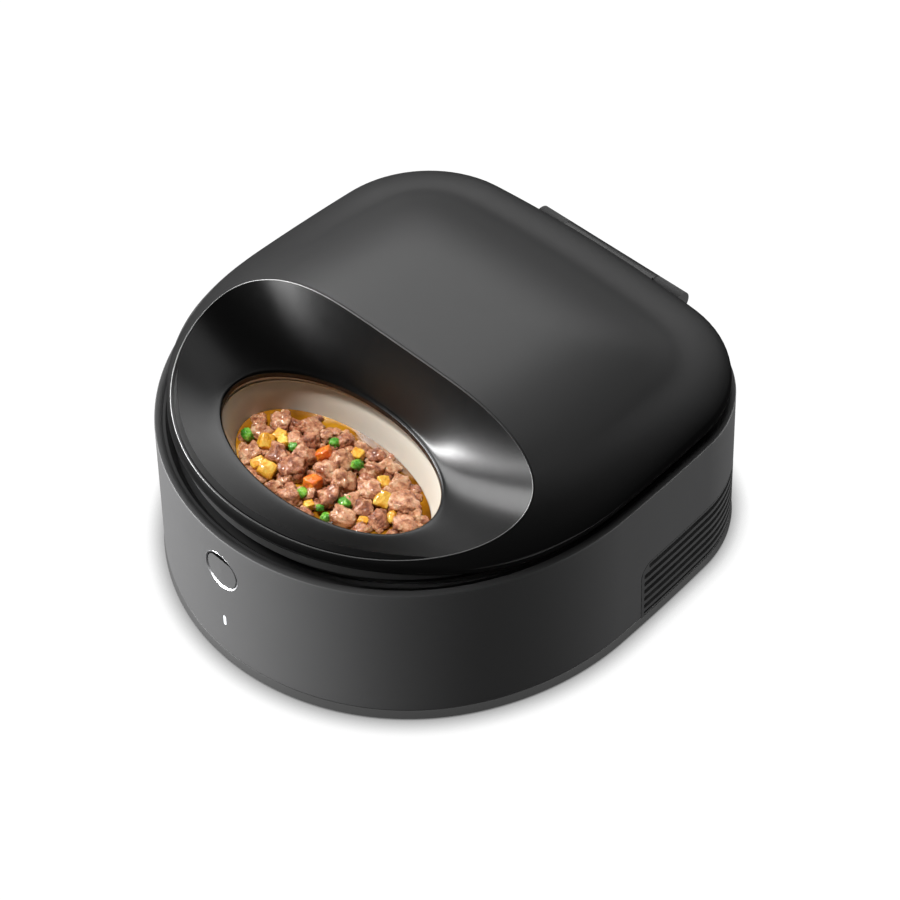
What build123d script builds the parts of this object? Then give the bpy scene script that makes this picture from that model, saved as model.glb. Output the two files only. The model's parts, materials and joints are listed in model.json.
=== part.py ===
from build123d import *
import os
import math

os.makedirs("parts", exist_ok=True)

# ---------------------------------------------------------------- driving dimensions (mm)
# Plan outline of the housing: a chain of tangent arcs, round at the front (-Y), straighter at the
# sides and back, with large rear corners. Each entry: radius, end angle of the arc in degrees.
Y_FRONT = -162.3
FRONT_R, FRONT_A = 145.9, -33.5
SHOULDER_R = 170.8
SIDE_R, SIDE_A = 1381.0, 3.2
CORNER_R = 73.8
BACK_R = 952.7

Z_BASE = 1.0            # underside of the base pan above the floor (feet stand proud)
Z_SEAM = 8.4            # seam between base pan band and outer housing
Z_RIM = 103.2           # top ledge of the outer housing
WALL = 2.6              # housing wall
FLARE = 3.4             # the wall is this much wider at the seam than at the rim (draft)
LEDGE_W = 4.7           # width of the flat ledge on top of the wall
DECK_TOP = 97.0         # deck in the dark groove
AXIS_Y = -8.0           # vertical axis of the tray, turntable and shutter

TUB_R = 132.0           # chilled well, inside
TUB_WALL = 2.0
TUB_FLOOR = 50.0
FOAM_R = 144.0

TRAY_R = 129.0
TRAY_TOP = 99.2
TRAY_BOTTOM = 66.5
POCKET_A, POCKET_B = 77.5, 45.0    # oval compartments, semi-axes along and across the rim
POCKET_AT = 71.5                   # their distance from the tray axis
POCKET_DEPTH = 29.5

LID_IN = 6.8            # how far the lid stands in from the housing outline
LID_LOW = 106.0         # lower edge of the lid shell
LID_T = 2.6             # lid shell thickness
LID_TILT = 3.4          # the lid's top leans down to the back by this many degrees
HOLE_A, HOLE_B = 76.4, 42.7        # feeding hole, semi-axes
HOLE_Y = -79.5
HOLE_Z = 109.2
SHUTTER_TEETH, SHUTTER_PINION_TEETH, SHUTTER_MODULE = 36, 12, 1.0
GEAR_TEETH, PINION_TEETH, GEAR_MODULE = 64, 16, 1.25

HINGE_Y, HINGE_Z = 155.2, 97.0     # lid hinge axis, parallel to X
HINGE_R = 7.8
HINGE_HALF = 57.3                  # half length of the whole hinge block
KNUCKLE_HALF = 36.0                # half length of the lid's middle knuckle
HINGE_GAP = 0.35
PIN_R = 2.5

BUTTON_Z = 76.5
BUTTON_RING_R = 13.3
BUTTON_R = 12.1
BUTTON_TRAVEL = 0.8
LAMP_Z = 35.0

VENT_Y0, VENT_Y1 = 14.0, 126.0     # vent panel, front and rear limits
VENT_TOP = 51.0
SLOT_COUNT, SLOT_PITCH, SLOT_H = 8, 5.4, 2.9
SLOT_Y1 = 100.0         # the slots end here, the panel goes on plain

# the modelled pieces are moved by this much along Y on export, so that the origin is the middle of the overall box
SHIFT_Y = -((Y_FRONT - FLARE) + (HINGE_Y + HINGE_R)) / 2

COOL_X, COOL_Y = 66.0, 44.0        # centre of the cooling stack


# ---------------------------------------------------------------- plan outline helpers
def arcs():
    """Centres, radii and angle spans of the right half, front to back."""
    radii = [FRONT_R, SHOULDER_R, SIDE_R, CORNER_R]
    ends = [FRONT_A, 0.0, SIDE_A]
    cx, cy = 0.0, Y_FRONT + FRONT_R
    out = []
    start = -90.0
    for k in range(3):
        out.append((cx, cy, radii[k], start, ends[k]))
        t = math.radians(ends[k])
        d = radii[k] - radii[k + 1]
        cx, cy = cx + d * math.cos(t), cy + d * math.sin(t)
        start = ends[k]
    last = math.degrees(math.acos(cx / (BACK_R - CORNER_R)))
    out.append((cx, cy, CORNER_R, start, last))
    t = math.radians(last)
    cy = cy + (CORNER_R - BACK_R) * math.sin(t)
    out.append((0.0, cy, BACK_R, last, 90.0))
    return out


ARCS = arcs()
Y_BACK = ARCS[-1][1] + BACK_R
HALF_W = ARCS[2][0] + SIDE_R


def plan(off=0.0):
    """Closed face of the outline, set in by off (negative: set out)."""
    edges = []
    for cx, cy, r, a, b in ARCS:
        edges.append(CenterArc((cx, cy, 0), r - off, a, b - a))
    for cx, cy, r, a, b in ARCS:
        edges.append(CenterArc((-cx, cy, 0), r - off, 180 - b, b - a))
    return make_face(edges)


def slab(off, z0, z1):
    return extrude(Pos(0, 0, z0) * plan(off), amount=z1 - z0)


def stack(sections):
    """Ruled solid through outline sections given as (off, z)."""
    return loft([Pos(0, 0, z) * plan(o) for o, z in sections], ruled=True)


def cyl(r, z0, z1, x=0.0, y=0.0):
    return Pos(x, y, (z0 + z1) / 2) * Cylinder(r, z1 - z0)


def block(x0, x1, y0, y1, z0, z1):
    return Pos((x0 + x1) / 2, (y0 + y1) / 2, (z0 + z1) / 2) * Box(x1 - x0, y1 - y0, z1 - z0)


def cyl_y(r, y0, y1, x=0.0, z=0.0):
    return Pos(x, (y0 + y1) / 2, z) * Rot(90, 0, 0) * Cylinder(r, y1 - y0)


def cyl_x(r, x0, x1, y=0.0, z=0.0):
    return Pos((x0 + x1) / 2, y, z) * Rot(0, 90, 0) * Cylinder(r, x1 - x0)


def save(shape, name):
    solids = [Pos(0, SHIFT_Y, 0) * q for q in shape.clean().solids()]
    if len(solids) == 1:
        export_step(solids[0], f"parts/{name}.step")
    else:
        export_step(Compound(children=solids), f"parts/{name}.step")


def spur(module, teeth, z0, z1, bore, backlash=0.14):
    """Spur gear with straight-sided teeth, one tooth centred on +X."""
    pitch = module * teeth / 2
    tip, root = pitch + module * 0.95, pitch - module * 1.2
    half_p = math.pi / teeth / 2 - backlash / 2 / pitch
    half_t = half_p * 0.52
    half_r = half_p * 1.42
    pts = []
    for i in range(teeth):
        c = 2 * math.pi * i / teeth
        for a, r in ((-half_r, root), (-half_p, pitch), (-half_t, tip), (half_t, tip), (half_p, pitch), (half_r, root)):
            pts.append((r * math.cos(c + a), r * math.sin(c + a)))
    face = make_face(Polyline(*pts, close=True))
    g = extrude(Pos(0, 0, z0) * face, amount=z1 - z0)
    return g - cyl(bore, z0 - 1, z1 + 1) if bore else g


HOUSE_OUT = [(-FLARE, Z_SEAM), (0.0, Z_RIM)]
FLOOR_Z = Z_BASE + 2.6

# ---------------------------------------------------------------- base pan
BAND = [(2.2 - FLARE, Z_BASE), (1.0 - FLARE, Z_BASE + 0.7), (0.4 - FLARE, Z_BASE + 2.0), (0.25 - FLARE, Z_SEAM - 0.3)]
band = stack(BAND)
pan = band - slab(WALL + 1.4, FLOOR_Z, Z_SEAM + 2)
lip = slab(WALL + 0.6, FLOOR_Z - 0.5, Z_SEAM + 5) - slab(WALL + 2.4, FLOOR_Z - 1, Z_SEAM + 6)
pan = pan + lip

SCREWS = [(-92, -98), (92, -98), (-128, -30), (128, -30), (-84, 118), (84, 118)]
FEET = [(-88, -84), (88, -84), (-92, 104), (92, 104)]
for x, y in SCREWS:
    pan = pan + cyl(5.5, FLOOR_Z - 0.5, 16, x, y)
for x, y in SCREWS:
    pan = pan - cyl(1.75, 0, 20, x, y) - cyl(3.4, 0, Z_BASE + 3.4, x, y)
for x, y in FEET:
    pan = pan - cyl(9.2, 0, Z_BASE + 1.0, x, y)
# air intake slots under the hot fan
for i in range(-4, 5):
    half = math.sqrt(max(32.0 ** 2 - (i * 7.0) ** 2, 1))
    pan = pan - block(COOL_X - half, COOL_X + half, COOL_Y + i * 7 - 1.9, COOL_Y + i * 7 + 1.9, 0, FLOOR_Z + 1)
# board posts
for x, y in ((-112, 20), (-22, 20), (-112, 68), (-22, 68)):
    pan = pan + cyl(3.2, FLOOR_Z - 0.5, 12, x, y)

# ---------------------------------------------------------------- outer housing
housing = stack(HOUSE_OUT) - stack([(WALL - FLARE, Z_SEAM - 1), (WALL, Z_RIM - 2.4)])
housing = housing - slab(LEDGE_W, Z_RIM - 4, Z_RIM + 1)
# screw bosses tied to the wall by ribs
for x, y in SCREWS:
    housing = housing + (cyl(5.5, 16.3, 40, x, y) - cyl(1.55, 16, 34, x, y))
ribs = None
for x, y in SCREWS:
    n = math.hypot(x, y + 8)
    ux, uy = x / n, (y + 8) / n
    ang = math.degrees(math.atan2(uy, ux))
    r = Pos(x + ux * 22, y + uy * 22, 28.15) * Rot(0, 0, ang) * Box(36, 2.0, 23.7)
    ribs = r if ribs is None else ribs + r
ribs = ribs & stack([(1.2 - FLARE, Z_SEAM), (1.2, Z_RIM)])
for x, y in SCREWS:
    ribs = ribs - cyl(3.0, 15, 41, x, y)
housing = housing + ribs


def vent_zone(grow):
    """Rounded region of the wall taken by the right vent panel."""
    y0, y1 = VENT_Y0 - grow, VENT_Y1 + grow
    z1 = VENT_TOP + grow
    prof = Plane.YZ * (Pos((y0 + y1) / 2, (z1 - 20) / 2) * RectangleRounded(y1 - y0, z1 + 20, 10 + grow))
    return extrude(Pos(70, 0, 0) * prof, amount=100)


wall_ring_cut = stack([(-FLARE - 6, -2), (-FLARE - 6, VENT_TOP + 8)]) - slab(WALL + 0.29, -3, VENT_TOP + 9)
cut_r = vent_zone(0.0) & wall_ring_cut
cut_l = mirror(cut_r, about=Plane.YZ)
housing = housing - cut_r - cut_l
pan = pan - cut_r - cut_l

# button, lamp and inlet holes
housing = housing - cyl_y(BUTTON_RING_R + 0.05, Y_FRONT - 6, Y_FRONT + 12, 0, BUTTON_Z)
lamp_hole = extrude(Plane.XZ * (Pos(0, LAMP_Z) * SlotOverall(8.7, 2.3, rotation=90)), amount=20, both=True)
housing = housing - Pos(0, Y_FRONT, 0) * lamp_hole
JACK_X, JACK_Z = -62.0, 24.0
housing = housing - cyl_y(4.6, Y_BACK - 12, Y_BACK + 8, JACK_X, JACK_Z)
# relief for the middle knuckle and seats for the end knuckles at the top of the back wall
housing = housing - cyl_x(HINGE_R + 0.6, -HINGE_HALF - 0.0, HINGE_HALF + 0.0, HINGE_Y, HINGE_Z)

# ---------------------------------------------------------------- top deck and dark groove wall
groove_out = stack([(LEDGE_W + 5.2, DECK_TOP - 2.2), (LEDGE_W + 0.05, Z_RIM - 0.7)])
groove_in = stack([(LEDGE_W + 5.2, DECK_TOP), (LEDGE_W + 1.6, Z_RIM - 0.69)])
deck = groove_out - groove_in
deck = deck - cyl(TUB_R + TUB_WALL + 0.2, DECK_TOP - 10, DECK_TOP + 1, 0, AXIS_Y)
deck = deck - cyl_x(HINGE_R + 0.6, -HINGE_HALF - 0.0, HINGE_HALF + 0.0, HINGE_Y, HINGE_Z)

# ---------------------------------------------------------------- chilled tub and its insulation
tub = cyl(TUB_R + TUB_WALL, TUB_FLOOR, DECK_TOP, 0, AXIS_Y) - cyl(TUB_R, TUB_FLOOR + 2.2, DECK_TOP + 3, 0, AXIS_Y)
tub = tub + (cyl(TUB_R + 6.5, DECK_TOP, DECK_TOP + 2.0, 0, AXIS_Y) - cyl(TUB_R, DECK_TOP - 1, DECK_TOP + 3, 0, AXIS_Y))
sink_hole = block(COOL_X - 25.2, COOL_X + 25.2, COOL_Y - 25.2, COOL_Y + 25.2, TUB_FLOOR - 20, TUB_FLOOR + 4)
MOTOR_X = -(GEAR_TEETH + PINION_TEETH) * GEAR_MODULE / 2 * math.cos(math.radians(45))
MOTOR_Y = AXIS_Y - MOTOR_X
tub = tub - sink_hole - cyl(4.0, 40, 60, MOTOR_X, MOTOR_Y) - cyl(5.0, 40, 60, 0, AXIS_Y)

foam = cyl(FOAM_R, 41.0, DECK_TOP - 2.5, 0, AXIS_Y) - cyl(TUB_R + TUB_WALL + 0.05, TUB_FLOOR - 0.05, DECK_TOP + 3, 0, AXIS_Y)
foam = foam & slab(WALL + 3.2, 40, DECK_TOP)
foam = foam - sink_hole - cyl(4.4, 40, 60, MOTOR_X, MOTOR_Y) - cyl(9.2, 40, 60, 0, AXIS_Y)
foam = foam - block(-20, 20, -170, -145.2, 20, 90)

# ---------------------------------------------------------------- vent panels
vent = stack(BAND[:3] + [(-FLARE, Z_SEAM), (-FLARE * 0.54, VENT_TOP + 4)])
vent = vent - slab(WALL + 0.25, Z_BASE - 1, VENT_TOP + 6)
vent = vent & vent_zone(-0.2)
for i in range(SLOT_COUNT):
    z = VENT_TOP - 5.6 - i * SLOT_PITCH
    y0 = VENT_Y0 + (8.5 if i == 0 else 5.5)
    prof = Plane.YZ * (Pos((y0 + SLOT_Y1) / 2, z) * SlotOverall(SLOT_Y1 - y0, SLOT_H))
    vent = vent - extrude(Pos(60, 0, 0) * prof, amount=110)
vent_right = vent
vent_left = mirror(vent, about=Plane.YZ)

# ---------------------------------------------------------------- button, ring, lamp, front board
skin = stack([(-FLARE - 0.15, Z_SEAM), (-0.15, Z_RIM)])
ring = cyl_y(BUTTON_RING_R, Y_FRONT - 5, Y_FRONT + 3.2, 0, BUTTON_Z) - cyl_y(BUTTON_RING_R - 0.8, Y_FRONT - 6, Y_FRONT + 6, 0, BUTTON_Z)
ring = ring & skin
face_skin = stack(HOUSE_OUT)
wall_in_y = Y_FRONT + WALL
cap = (cyl_y(BUTTON_R, Y_FRONT - 5, Y_FRONT + 2.2, 0, BUTTON_Z) & face_skin)
BOARD_Y = Y_FRONT + 14.0
cap = cap + cyl_y(1.4, Y_FRONT + 2.0, BOARD_Y - 2.0, 0, BUTTON_Z) + cyl_y(6.0, Y_FRONT + 2.0, Y_FRONT + 4.2, 0, BUTTON_Z)
for s in (-1, 1):
    cap = cap + block(-4, 4, Y_FRONT + 3.3, Y_FRONT + 4.2, min(BUTTON_Z, BUTTON_Z + s * 14.3), max(BUTTON_Z, BUTTON_Z + s * 14.3))
switch = block(-3, 3, BOARD_Y - 3.6, BOARD_Y, BUTTON_Z - 3, BUTTON_Z + 3) - cyl_y(1.75, BOARD_Y - 4, BOARD_Y - 0.8, 0, BUTTON_Z)
front_board = block(-12, 12, BOARD_Y, BOARD_Y + 1.6, LAMP_Z - 10, BUTTON_Z + 9)
lens = extrude(Plane.XZ * (Pos(0, LAMP_Z) * SlotOverall(8.6, 2.2, rotation=90)), amount=20, both=True)
lens = (Pos(0, Y_FRONT, 0) * lens) & block(-8, 8, Y_FRONT - 8, BOARD_Y - 1.2, 20, 60) & stack([(-FLARE, Z_SEAM), (0.0, Z_RIM)])
lamp = block(-1.4, 1.4, BOARD_Y - 1.1, BOARD_Y, LAMP_Z - 1.6, LAMP_Z + 1.6)
# board carrier: two rails that hold the front board off the wall
carrier = None
for s in (-1, 1):
    rail = block(s * 14 - 1.9, s * 14 + 1.9, Y_FRONT + 1.0, BOARD_Y + 2.6, LAMP_Z - 10, BUTTON_Z - 16)
    rail = rail & stack([(1.2 - FLARE, Z_SEAM), (1.2, Z_RIM)])
    rail = rail - block(-12.15, 12.15, BOARD_Y - 0.05, BOARD_Y + 1.65, 0, 100)
    carrier = rail if carrier is None else carrier + rail
housing = housing + carrier

# ---------------------------------------------------------------- control board and inlet
board = block(-118, -16, 14, 74, 12.0, 13.6)
for bx, by, w, d, h in ((-96, 52, 16, 16, 10), (-70, 56, 12, 22, 8), (-50, 56, 16, 10, 4), (-90, 28, 24, 8, 4), (-50, 28, 12, 12, 3)):
    board = board + block(bx - w / 2, bx + w / 2, by - d / 2, by + d / 2, 13.5, 13.6 + h)
for cx, cy in ((-70, 30), (-28, 64), (-108, 64)):
    board = board + cyl(4.0, 13.5, 25, cx, cy)
WALL_Y_JACK = Y_BACK - (JACK_X ** 2) / (2 * BACK_R)
jack = cyl_y(4.5, WALL_Y_JACK - 14, WALL_Y_JACK + 0.4, JACK_X, JACK_Z) - cyl_y(3.0, WALL_Y_JACK - 10, WALL_Y_JACK + 2, JACK_X, JACK_Z)
jack = jack + cyl_y(1.0, WALL_Y_JACK - 11, WALL_Y_JACK - 1.5, JACK_X, JACK_Z)
jack = jack + (cyl_y(7.0, WALL_Y_JACK - 6.5, WALL_Y_JACK - 4.3, JACK_X, JACK_Z) - cyl_y(4.4, WALL_Y_JACK - 8, WALL_Y_JACK - 3, JACK_X, JACK_Z))

# ---------------------------------------------------------------- feet and screws
feet = None
for x, y in FEET:
    f = cyl(9.0, 0.0, Z_BASE + 1.0, x, y)
    f = fillet(f.edges().filter_by(GeomType.CIRCLE).sort_by(Axis.Z)[:1], 0.7)
    feet = f if feet is None else feet + f
screws = None
for x, y in SCREWS:
    s = cyl(3.1, Z_BASE + 1.4, Z_BASE + 3.4, x, y) + cyl(1.5, Z_BASE + 3.3, 33, x, y)
    s = s - Pos(x, y, Z_BASE + 1.4) * Rot(0, 0, 0) * Box(3.0, 0.7, 2.0) - Pos(x, y, Z_BASE + 1.4) * Box(0.7, 3.0, 2.0)
    screws = s if screws is None else screws + s

# ---------------------------------------------------------------- hinge
bracket = None
for s in (-1, 1):
    x0, x1 = sorted((s * (KNUCKLE_HALF + HINGE_GAP), s * HINGE_HALF))
    k = cyl_x(HINGE_R, x0, x1, HINGE_Y, HINGE_Z)
    arm = block(x0, x1, Y_BACK - 6.5, HINGE_Y, HINGE_Z - 20, HINGE_Z + 4.6)
    arm = arm - stack(HOUSE_OUT)
    k = k - slab(LEDGE_W + 0.1, 0, 200)
    k = (k + arm)
    k = k - cyl_x(PIN_R, -80, 80, HINGE_Y, HINGE_Z)
    bracket = k if bracket is None else bracket + k
hinge_pin = cyl_x(PIN_R - 0.02, -HINGE_HALF + 1.5, HINGE_HALF - 1.5, HINGE_Y, HINGE_Z)

# ---------------------------------------------------------------- lid form
def dome_z(off):
    t = min(max((off - 3.5) / 93.8, 0.0), 1.0)
    return 113.3 + 37.0 * (1 - (1 - t) ** 1.76) ** 0.775


def dome_sections(inset):
    """(off, z, tilt) down the profile from the lower edge to the top, moved in along its normal."""
    prof = [(9.2, LID_LOW), (7.4, LID_LOW + 2.6), (LID_IN, LID_LOW + 5.8), (7.6, LID_LOW + 9.4), (10.2, LID_LOW + 12.9)]
    prof += [(o, dome_z(o)) for o in (13.6, 17.0, 22.0, 29.0, 38.0, 48.0, 58.0, 66.0)]
    out = []
    for i, (o, z) in enumerate(prof):
        a = prof[max(i - 1, 0)]
        b = prof[min(i + 1, len(prof) - 1)]
        dx, dz = b[0] - a[0], b[1] - a[1]
        n = math.hypot(dx, dz)
        # inward normal: towards larger off and lower z
        oo, zz = o + inset * dz / n, z - inset * dx / n
        tilt = LID_TILT * min(1.0, max(0.0, (o - 8.0) / 30.0))
        out.append((min(oo, 69.0), zz, tilt))
    return out


def dome(inset):
    faces = []
    for o, z, tilt in dome_sections(inset):
        faces.append(Pos(0, 0, z) * Rot(-tilt, 0, 0) * plan(o))
    return loft(faces, ruled=True)


lid_full = dome(0.0)
lid_void = dome(LID_T)
under = slab(LID_T + 9.0, LID_LOW - 3, LID_LOW + 3.2)


def ellipse_at(a, b, y, z):
    return Pos(0, y, z) * Ellipse(a, b).face()


# the dish: near flat at the front, steep at the back, from the hole up through the lid's top
DISH = [(HOLE_Z, HOLE_Y, HOLE_A, HOLE_B), (113.5, -84.0, 98.0, 53.0), (119.0, -88.5, 110.5, 61.5),
        (127.0, -90.5, 120.8, 68.0), (138.0, -91.0, 126.5, 73.0), (156.0, -91.5, 131.0, 77.0)]


def dish_tool(grow, drop, low):
    """Solid above the dish surface, grown outwards and moved down, with a straight collar below."""
    up = loft([ellipse_at(a + grow, b + grow, y, z - drop) for z, y, a, b in DISH])
    z, y, a, b = DISH[0]
    collar = extrude(ellipse_at(a + grow, b + grow, y, low), amount=z - drop - low + 0.01)
    return up + collar


void = dish_tool(0.0, 0.0, 102.0)
dish_out = dish_tool(2.2, 1.6, 104.6)
trim_out = dish_tool(4.4, 1.6, 104.6)
lid_solid = lid_full + slab(LID_T + 9.4, LID_LOW - 2, LID_LOW + 4)
dish = (lid_solid & dish_out) - void
shell_raw = lid_full - lid_void - slab(LID_T + 8.2, LID_LOW - 3, LID_LOW + 3.0)
trim = (shell_raw & trim_out) - dish_out
lid_shell = shell_raw - trim_out

# ---------------------------------------------------------------- lid underside
LINER_Z0, LINER_Z1 = 103.2, 105.2
liner = slab(13.0, LINER_Z0, LINER_Z1)
liner = liner + (slab(11.6, LINER_Z0, LID_LOW + 5) - slab(13.4, LINER_Z0 - 1, LID_LOW + 6))
liner = liner - extrude(ellipse_at(HOLE_A + 2.5, HOLE_B + 2.5, HOLE_Y, LINER_Z0 - 1), amount=4)
SHUTTER_PY = AXIS_Y + (SHUTTER_TEETH + SHUTTER_PINION_TEETH) * SHUTTER_MODULE / 2
liner = liner - cyl(22.0, LINER_Z0 - 1, LINER_Z1 + 1, 0, AXIS_Y) - cyl(9.5, LINER_Z0 - 1, LINER_Z1 + 1, 0, SHUTTER_PY)
# bridge over the shutter gear that carries its axle and motor
bridge = block(-34, 34, AXIS_Y - 20, SHUTTER_PY + 16, LINER_Z1 + 5.2, LINER_Z1 + 7.4)
for bx, by in ((-30, AXIS_Y - 16), (30, AXIS_Y - 16), (-30, SHUTTER_PY + 12), (30, SHUTTER_PY + 12)):
    bridge = bridge + cyl(3.0, LINER_Z1, LINER_Z1 + 5.3, bx, by)
bridge = bridge - trim_out - cyl(3.05, 100, 130, 0, AXIS_Y) - cyl(2.05, 100, 130, 0, SHUTTER_PY)
gasket = (cyl(TUB_R + 6.0, DECK_TOP + 2.05, LINER_Z0, 0, AXIS_Y) - cyl(TUB_R + 1.5, DECK_TOP, LINER_Z0 + 1, 0, AXIS_Y))
gasket = gasket & slab(13.2, 90, 110)

# ---------------------------------------------------------------- shutter under the hole
SH_Z0, SH_Z1 = 100.9, 102.5
shutter = cyl(121.0, SH_Z0, SH_Z1, 0, AXIS_Y)
shutter = shutter - extrude(ellipse_at(HOLE_A + 2.0, HOLE_B + 2.0, HOLE_Y, SH_Z0 - 1), amount=4)
shutter = shutter + cyl(8.0, SH_Z1 - 0.01, LINER_Z1 + 4.6, 0, AXIS_Y)
shutter = shutter - cyl(3.05, 90, 120, 0, AXIS_Y)
axle = cyl(3.0, SH_Z0 + 0.2, LINER_Z1 + 10, 0, AXIS_Y) + cyl(5.5, LINER_Z1 + 7.4, LINER_Z1 + 9.4, 0, AXIS_Y)
shutter_gear = Pos(0, AXIS_Y, 0) * spur(SHUTTER_MODULE, SHUTTER_TEETH, SH_Z1 + 0.0, LINER_Z1 + 1.4, 8.0)
pin_gear = spur(SHUTTER_MODULE, SHUTTER_PINION_TEETH, SH_Z1 + 0.3, LINER_Z1 + 1.6, 0)
pin_gear = pin_gear + cyl(2.0, LINER_Z1 + 1.5, LINER_Z1 + 8.6)
# the big gear has a tooth centred on +Y (36 teeth); the pinion shows it a gap
pinion_sh = Pos(0, SHUTTER_PY, 0) * Rot(0, 0, 90 + 180.0 / SHUTTER_PINION_TEETH) * pin_gear
shutter_motor = cyl(12.0, LINER_Z1 + 7.4, LINER_Z1 + 24, 0, SHUTTER_PY) - cyl(2.05, LINER_Z1 + 7, LINER_Z1 + 9.2, 0, SHUTTER_PY)

# ---------------------------------------------------------------- lid's middle knuckle
knuckle = cyl_x(HINGE_R, -KNUCKLE_HALF, KNUCKLE_HALF, HINGE_Y, HINGE_Z)
leaf = block(-KNUCKLE_HALF, KNUCKLE_HALF, Y_BACK - 16.5, HINGE_Y - 1.0, Z_RIM - 0.1, Z_RIM + 2.6) - slab(LEDGE_W - 6, 0, Z_RIM + 0.7)
leaf_up = block(-KNUCKLE_HALF, KNUCKLE_HALF, Y_BACK - 16.5, Y_BACK - 10.0, Z_RIM + 0.7, LID_LOW + 7)
knuckle = knuckle + leaf + leaf_up
knuckle = knuckle - lid_shell - (slab(11.5, 90, 120))
knuckle = knuckle - cyl_x(PIN_R + 0.05, -80, 80, HINGE_Y, HINGE_Z)
liner = liner - cyl_x(HINGE_R + 2, -HINGE_HALF - 1, HINGE_HALF + 1, HINGE_Y, HINGE_Z)

# ---------------------------------------------------------------- food tray with three oval compartments
def pocket(k, top, depth, shrink=0.0):
    secs = []
    for f, dz in ((0.0, 0.0), (3.0, 5.0), (6.5, 14.0), (10.5, 22.0), (18.0, depth)):
        secs.append(Pos(0, -POCKET_AT, top - dz) * Ellipse(POCKET_A - f - shrink, POCKET_B - f - shrink).face())
    solid = loft(secs)
    return Pos(0, AXIS_Y, 0) * Rot(0, 0, 120 * k) * solid


BOWL_TOP = TRAY_TOP + 0.7          # top of the bowls' rims, which lie on the tray


def on_tray(shape, k):
    return Pos(0, AXIS_Y, 0) * Rot(0, 0, 120 * k) * shape


def oval(grow, z0, z1, k):
    """Straight oval prism round compartment k."""
    return on_tray(extrude(Pos(0, -POCKET_AT, z0) * Ellipse(POCKET_A + grow, POCKET_B + grow).face(), amount=z1 - z0), k)


# carrier: a disc with a skirt, a post that drops on the turntable and three oval openings
tray = cyl(TRAY_R, TRAY_TOP - 2.2, TRAY_TOP, 0, AXIS_Y)
tray = tray + (cyl(TRAY_R, TRAY_TOP - 9, TRAY_TOP - 2, 0, AXIS_Y) - cyl(TRAY_R - 2, TRAY_TOP - 10, TRAY_TOP - 1, 0, AXIS_Y))
tray = tray + cyl(13.0, TRAY_BOTTOM, TRAY_TOP - 2, 0, AXIS_Y)
for k in range(3):
    tray = tray - oval(2.7, TRAY_TOP - 5, TRAY_TOP + 1, k)
tray = tray - cyl(10.1, TRAY_BOTTOM - 2, TRAY_TOP - 8, 0, AXIS_Y)
# bowls: one for each opening
bowls = []
for k in range(3):
    secs = []
    for f, dz in ((-2.2, 0.0), (0.8, 5.0), (4.3, 14.0), (8.0, 22.0), (12.0, POCKET_DEPTH + 2.4)):
        secs.append(Pos(0, -POCKET_AT, TRAY_TOP - dz) * Ellipse(POCKET_A - f, POCKET_B - f).face())
    bowl = on_tray(loft(secs), k) + oval(4.6, TRAY_TOP, BOWL_TOP, k)
    bowl = bowl - pocket(k, TRAY_TOP, POCKET_DEPTH) - oval(0.0, TRAY_TOP - 0.001, BOWL_TOP + 1, k)
    bowls.append(bowl - cyl(13.4, 50, 110, 0, AXIS_Y))

FOOD_TOP = 82.5
food = pocket(0, TRAY_TOP, POCKET_DEPTH - 0.05, 0.05) & block(-100, 100, -160, 20, 60, FOOD_TOP)

# ---------------------------------------------------------------- turntable, drive and spindle
turntable = cyl(58.0, 62.6, TRAY_BOTTOM, 0, AXIS_Y) + cyl(10.0, TRAY_BOTTOM - 0.01, TRAY_TOP - 8.4, 0, AXIS_Y) + cyl(10.0, 60.3, 62.7, 0, AXIS_Y)
turntable = turntable - cyl(6.0, 50, TRAY_TOP - 12, 0, AXIS_Y)
bush = cyl(6.0, 60.3, TRAY_TOP - 12, 0, AXIS_Y) - cyl(4.05, 50, 95, 0, AXIS_Y)
big_gear = Pos(0, AXIS_Y, 0) * Rot(0, 0, 135) * spur(GEAR_MODULE, GEAR_TEETH, 54.5, 60.3, 6.6)
for k in range(6):
    a = math.radians(60 * k + 15)
    big_gear = big_gear - cyl(8.5, 50, 65, 22 * math.cos(a), AXIS_Y + 22 * math.sin(a))
big_gear = big_gear + (cyl(30.0, 60.29, 62.6, 0, AXIS_Y) - cyl(10.0, 59, 63, 0, AXIS_Y))
spindle = cyl(4.0, 46.0, TRAY_TOP - 13, 0, AXIS_Y) + cyl(9.0, 46.0, TUB_FLOOR, 0, AXIS_Y) + cyl(9.0, TUB_FLOOR + 2.2, TUB_FLOOR + 3.6, 0, AXIS_Y)
spindle = spindle + cyl(4.9, TUB_FLOOR - 0.01, TUB_FLOOR + 2.3, 0, AXIS_Y)
small = spur(GEAR_MODULE, PINION_TEETH, 54.7, 60.1, 0) + cyl(3.0, 41.4, 54.8)
pinion = Pos(MOTOR_X, MOTOR_Y, 0) * Rot(0, 0, 135 + 180 + 180.0 / PINION_TEETH) * small
motor = cyl(17.0, 18.0, 40.9, MOTOR_X, MOTOR_Y) + block(MOTOR_X - 26, MOTOR_X + 26, MOTOR_Y - 6, MOTOR_Y + 6, 38.9, 40.9)
motor = motor - cyl(3.4, 39.0, 42, MOTOR_X, MOTOR_Y)
pinion = pinion - cyl(10, 30, 41.2, MOTOR_X, MOTOR_Y)

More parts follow.
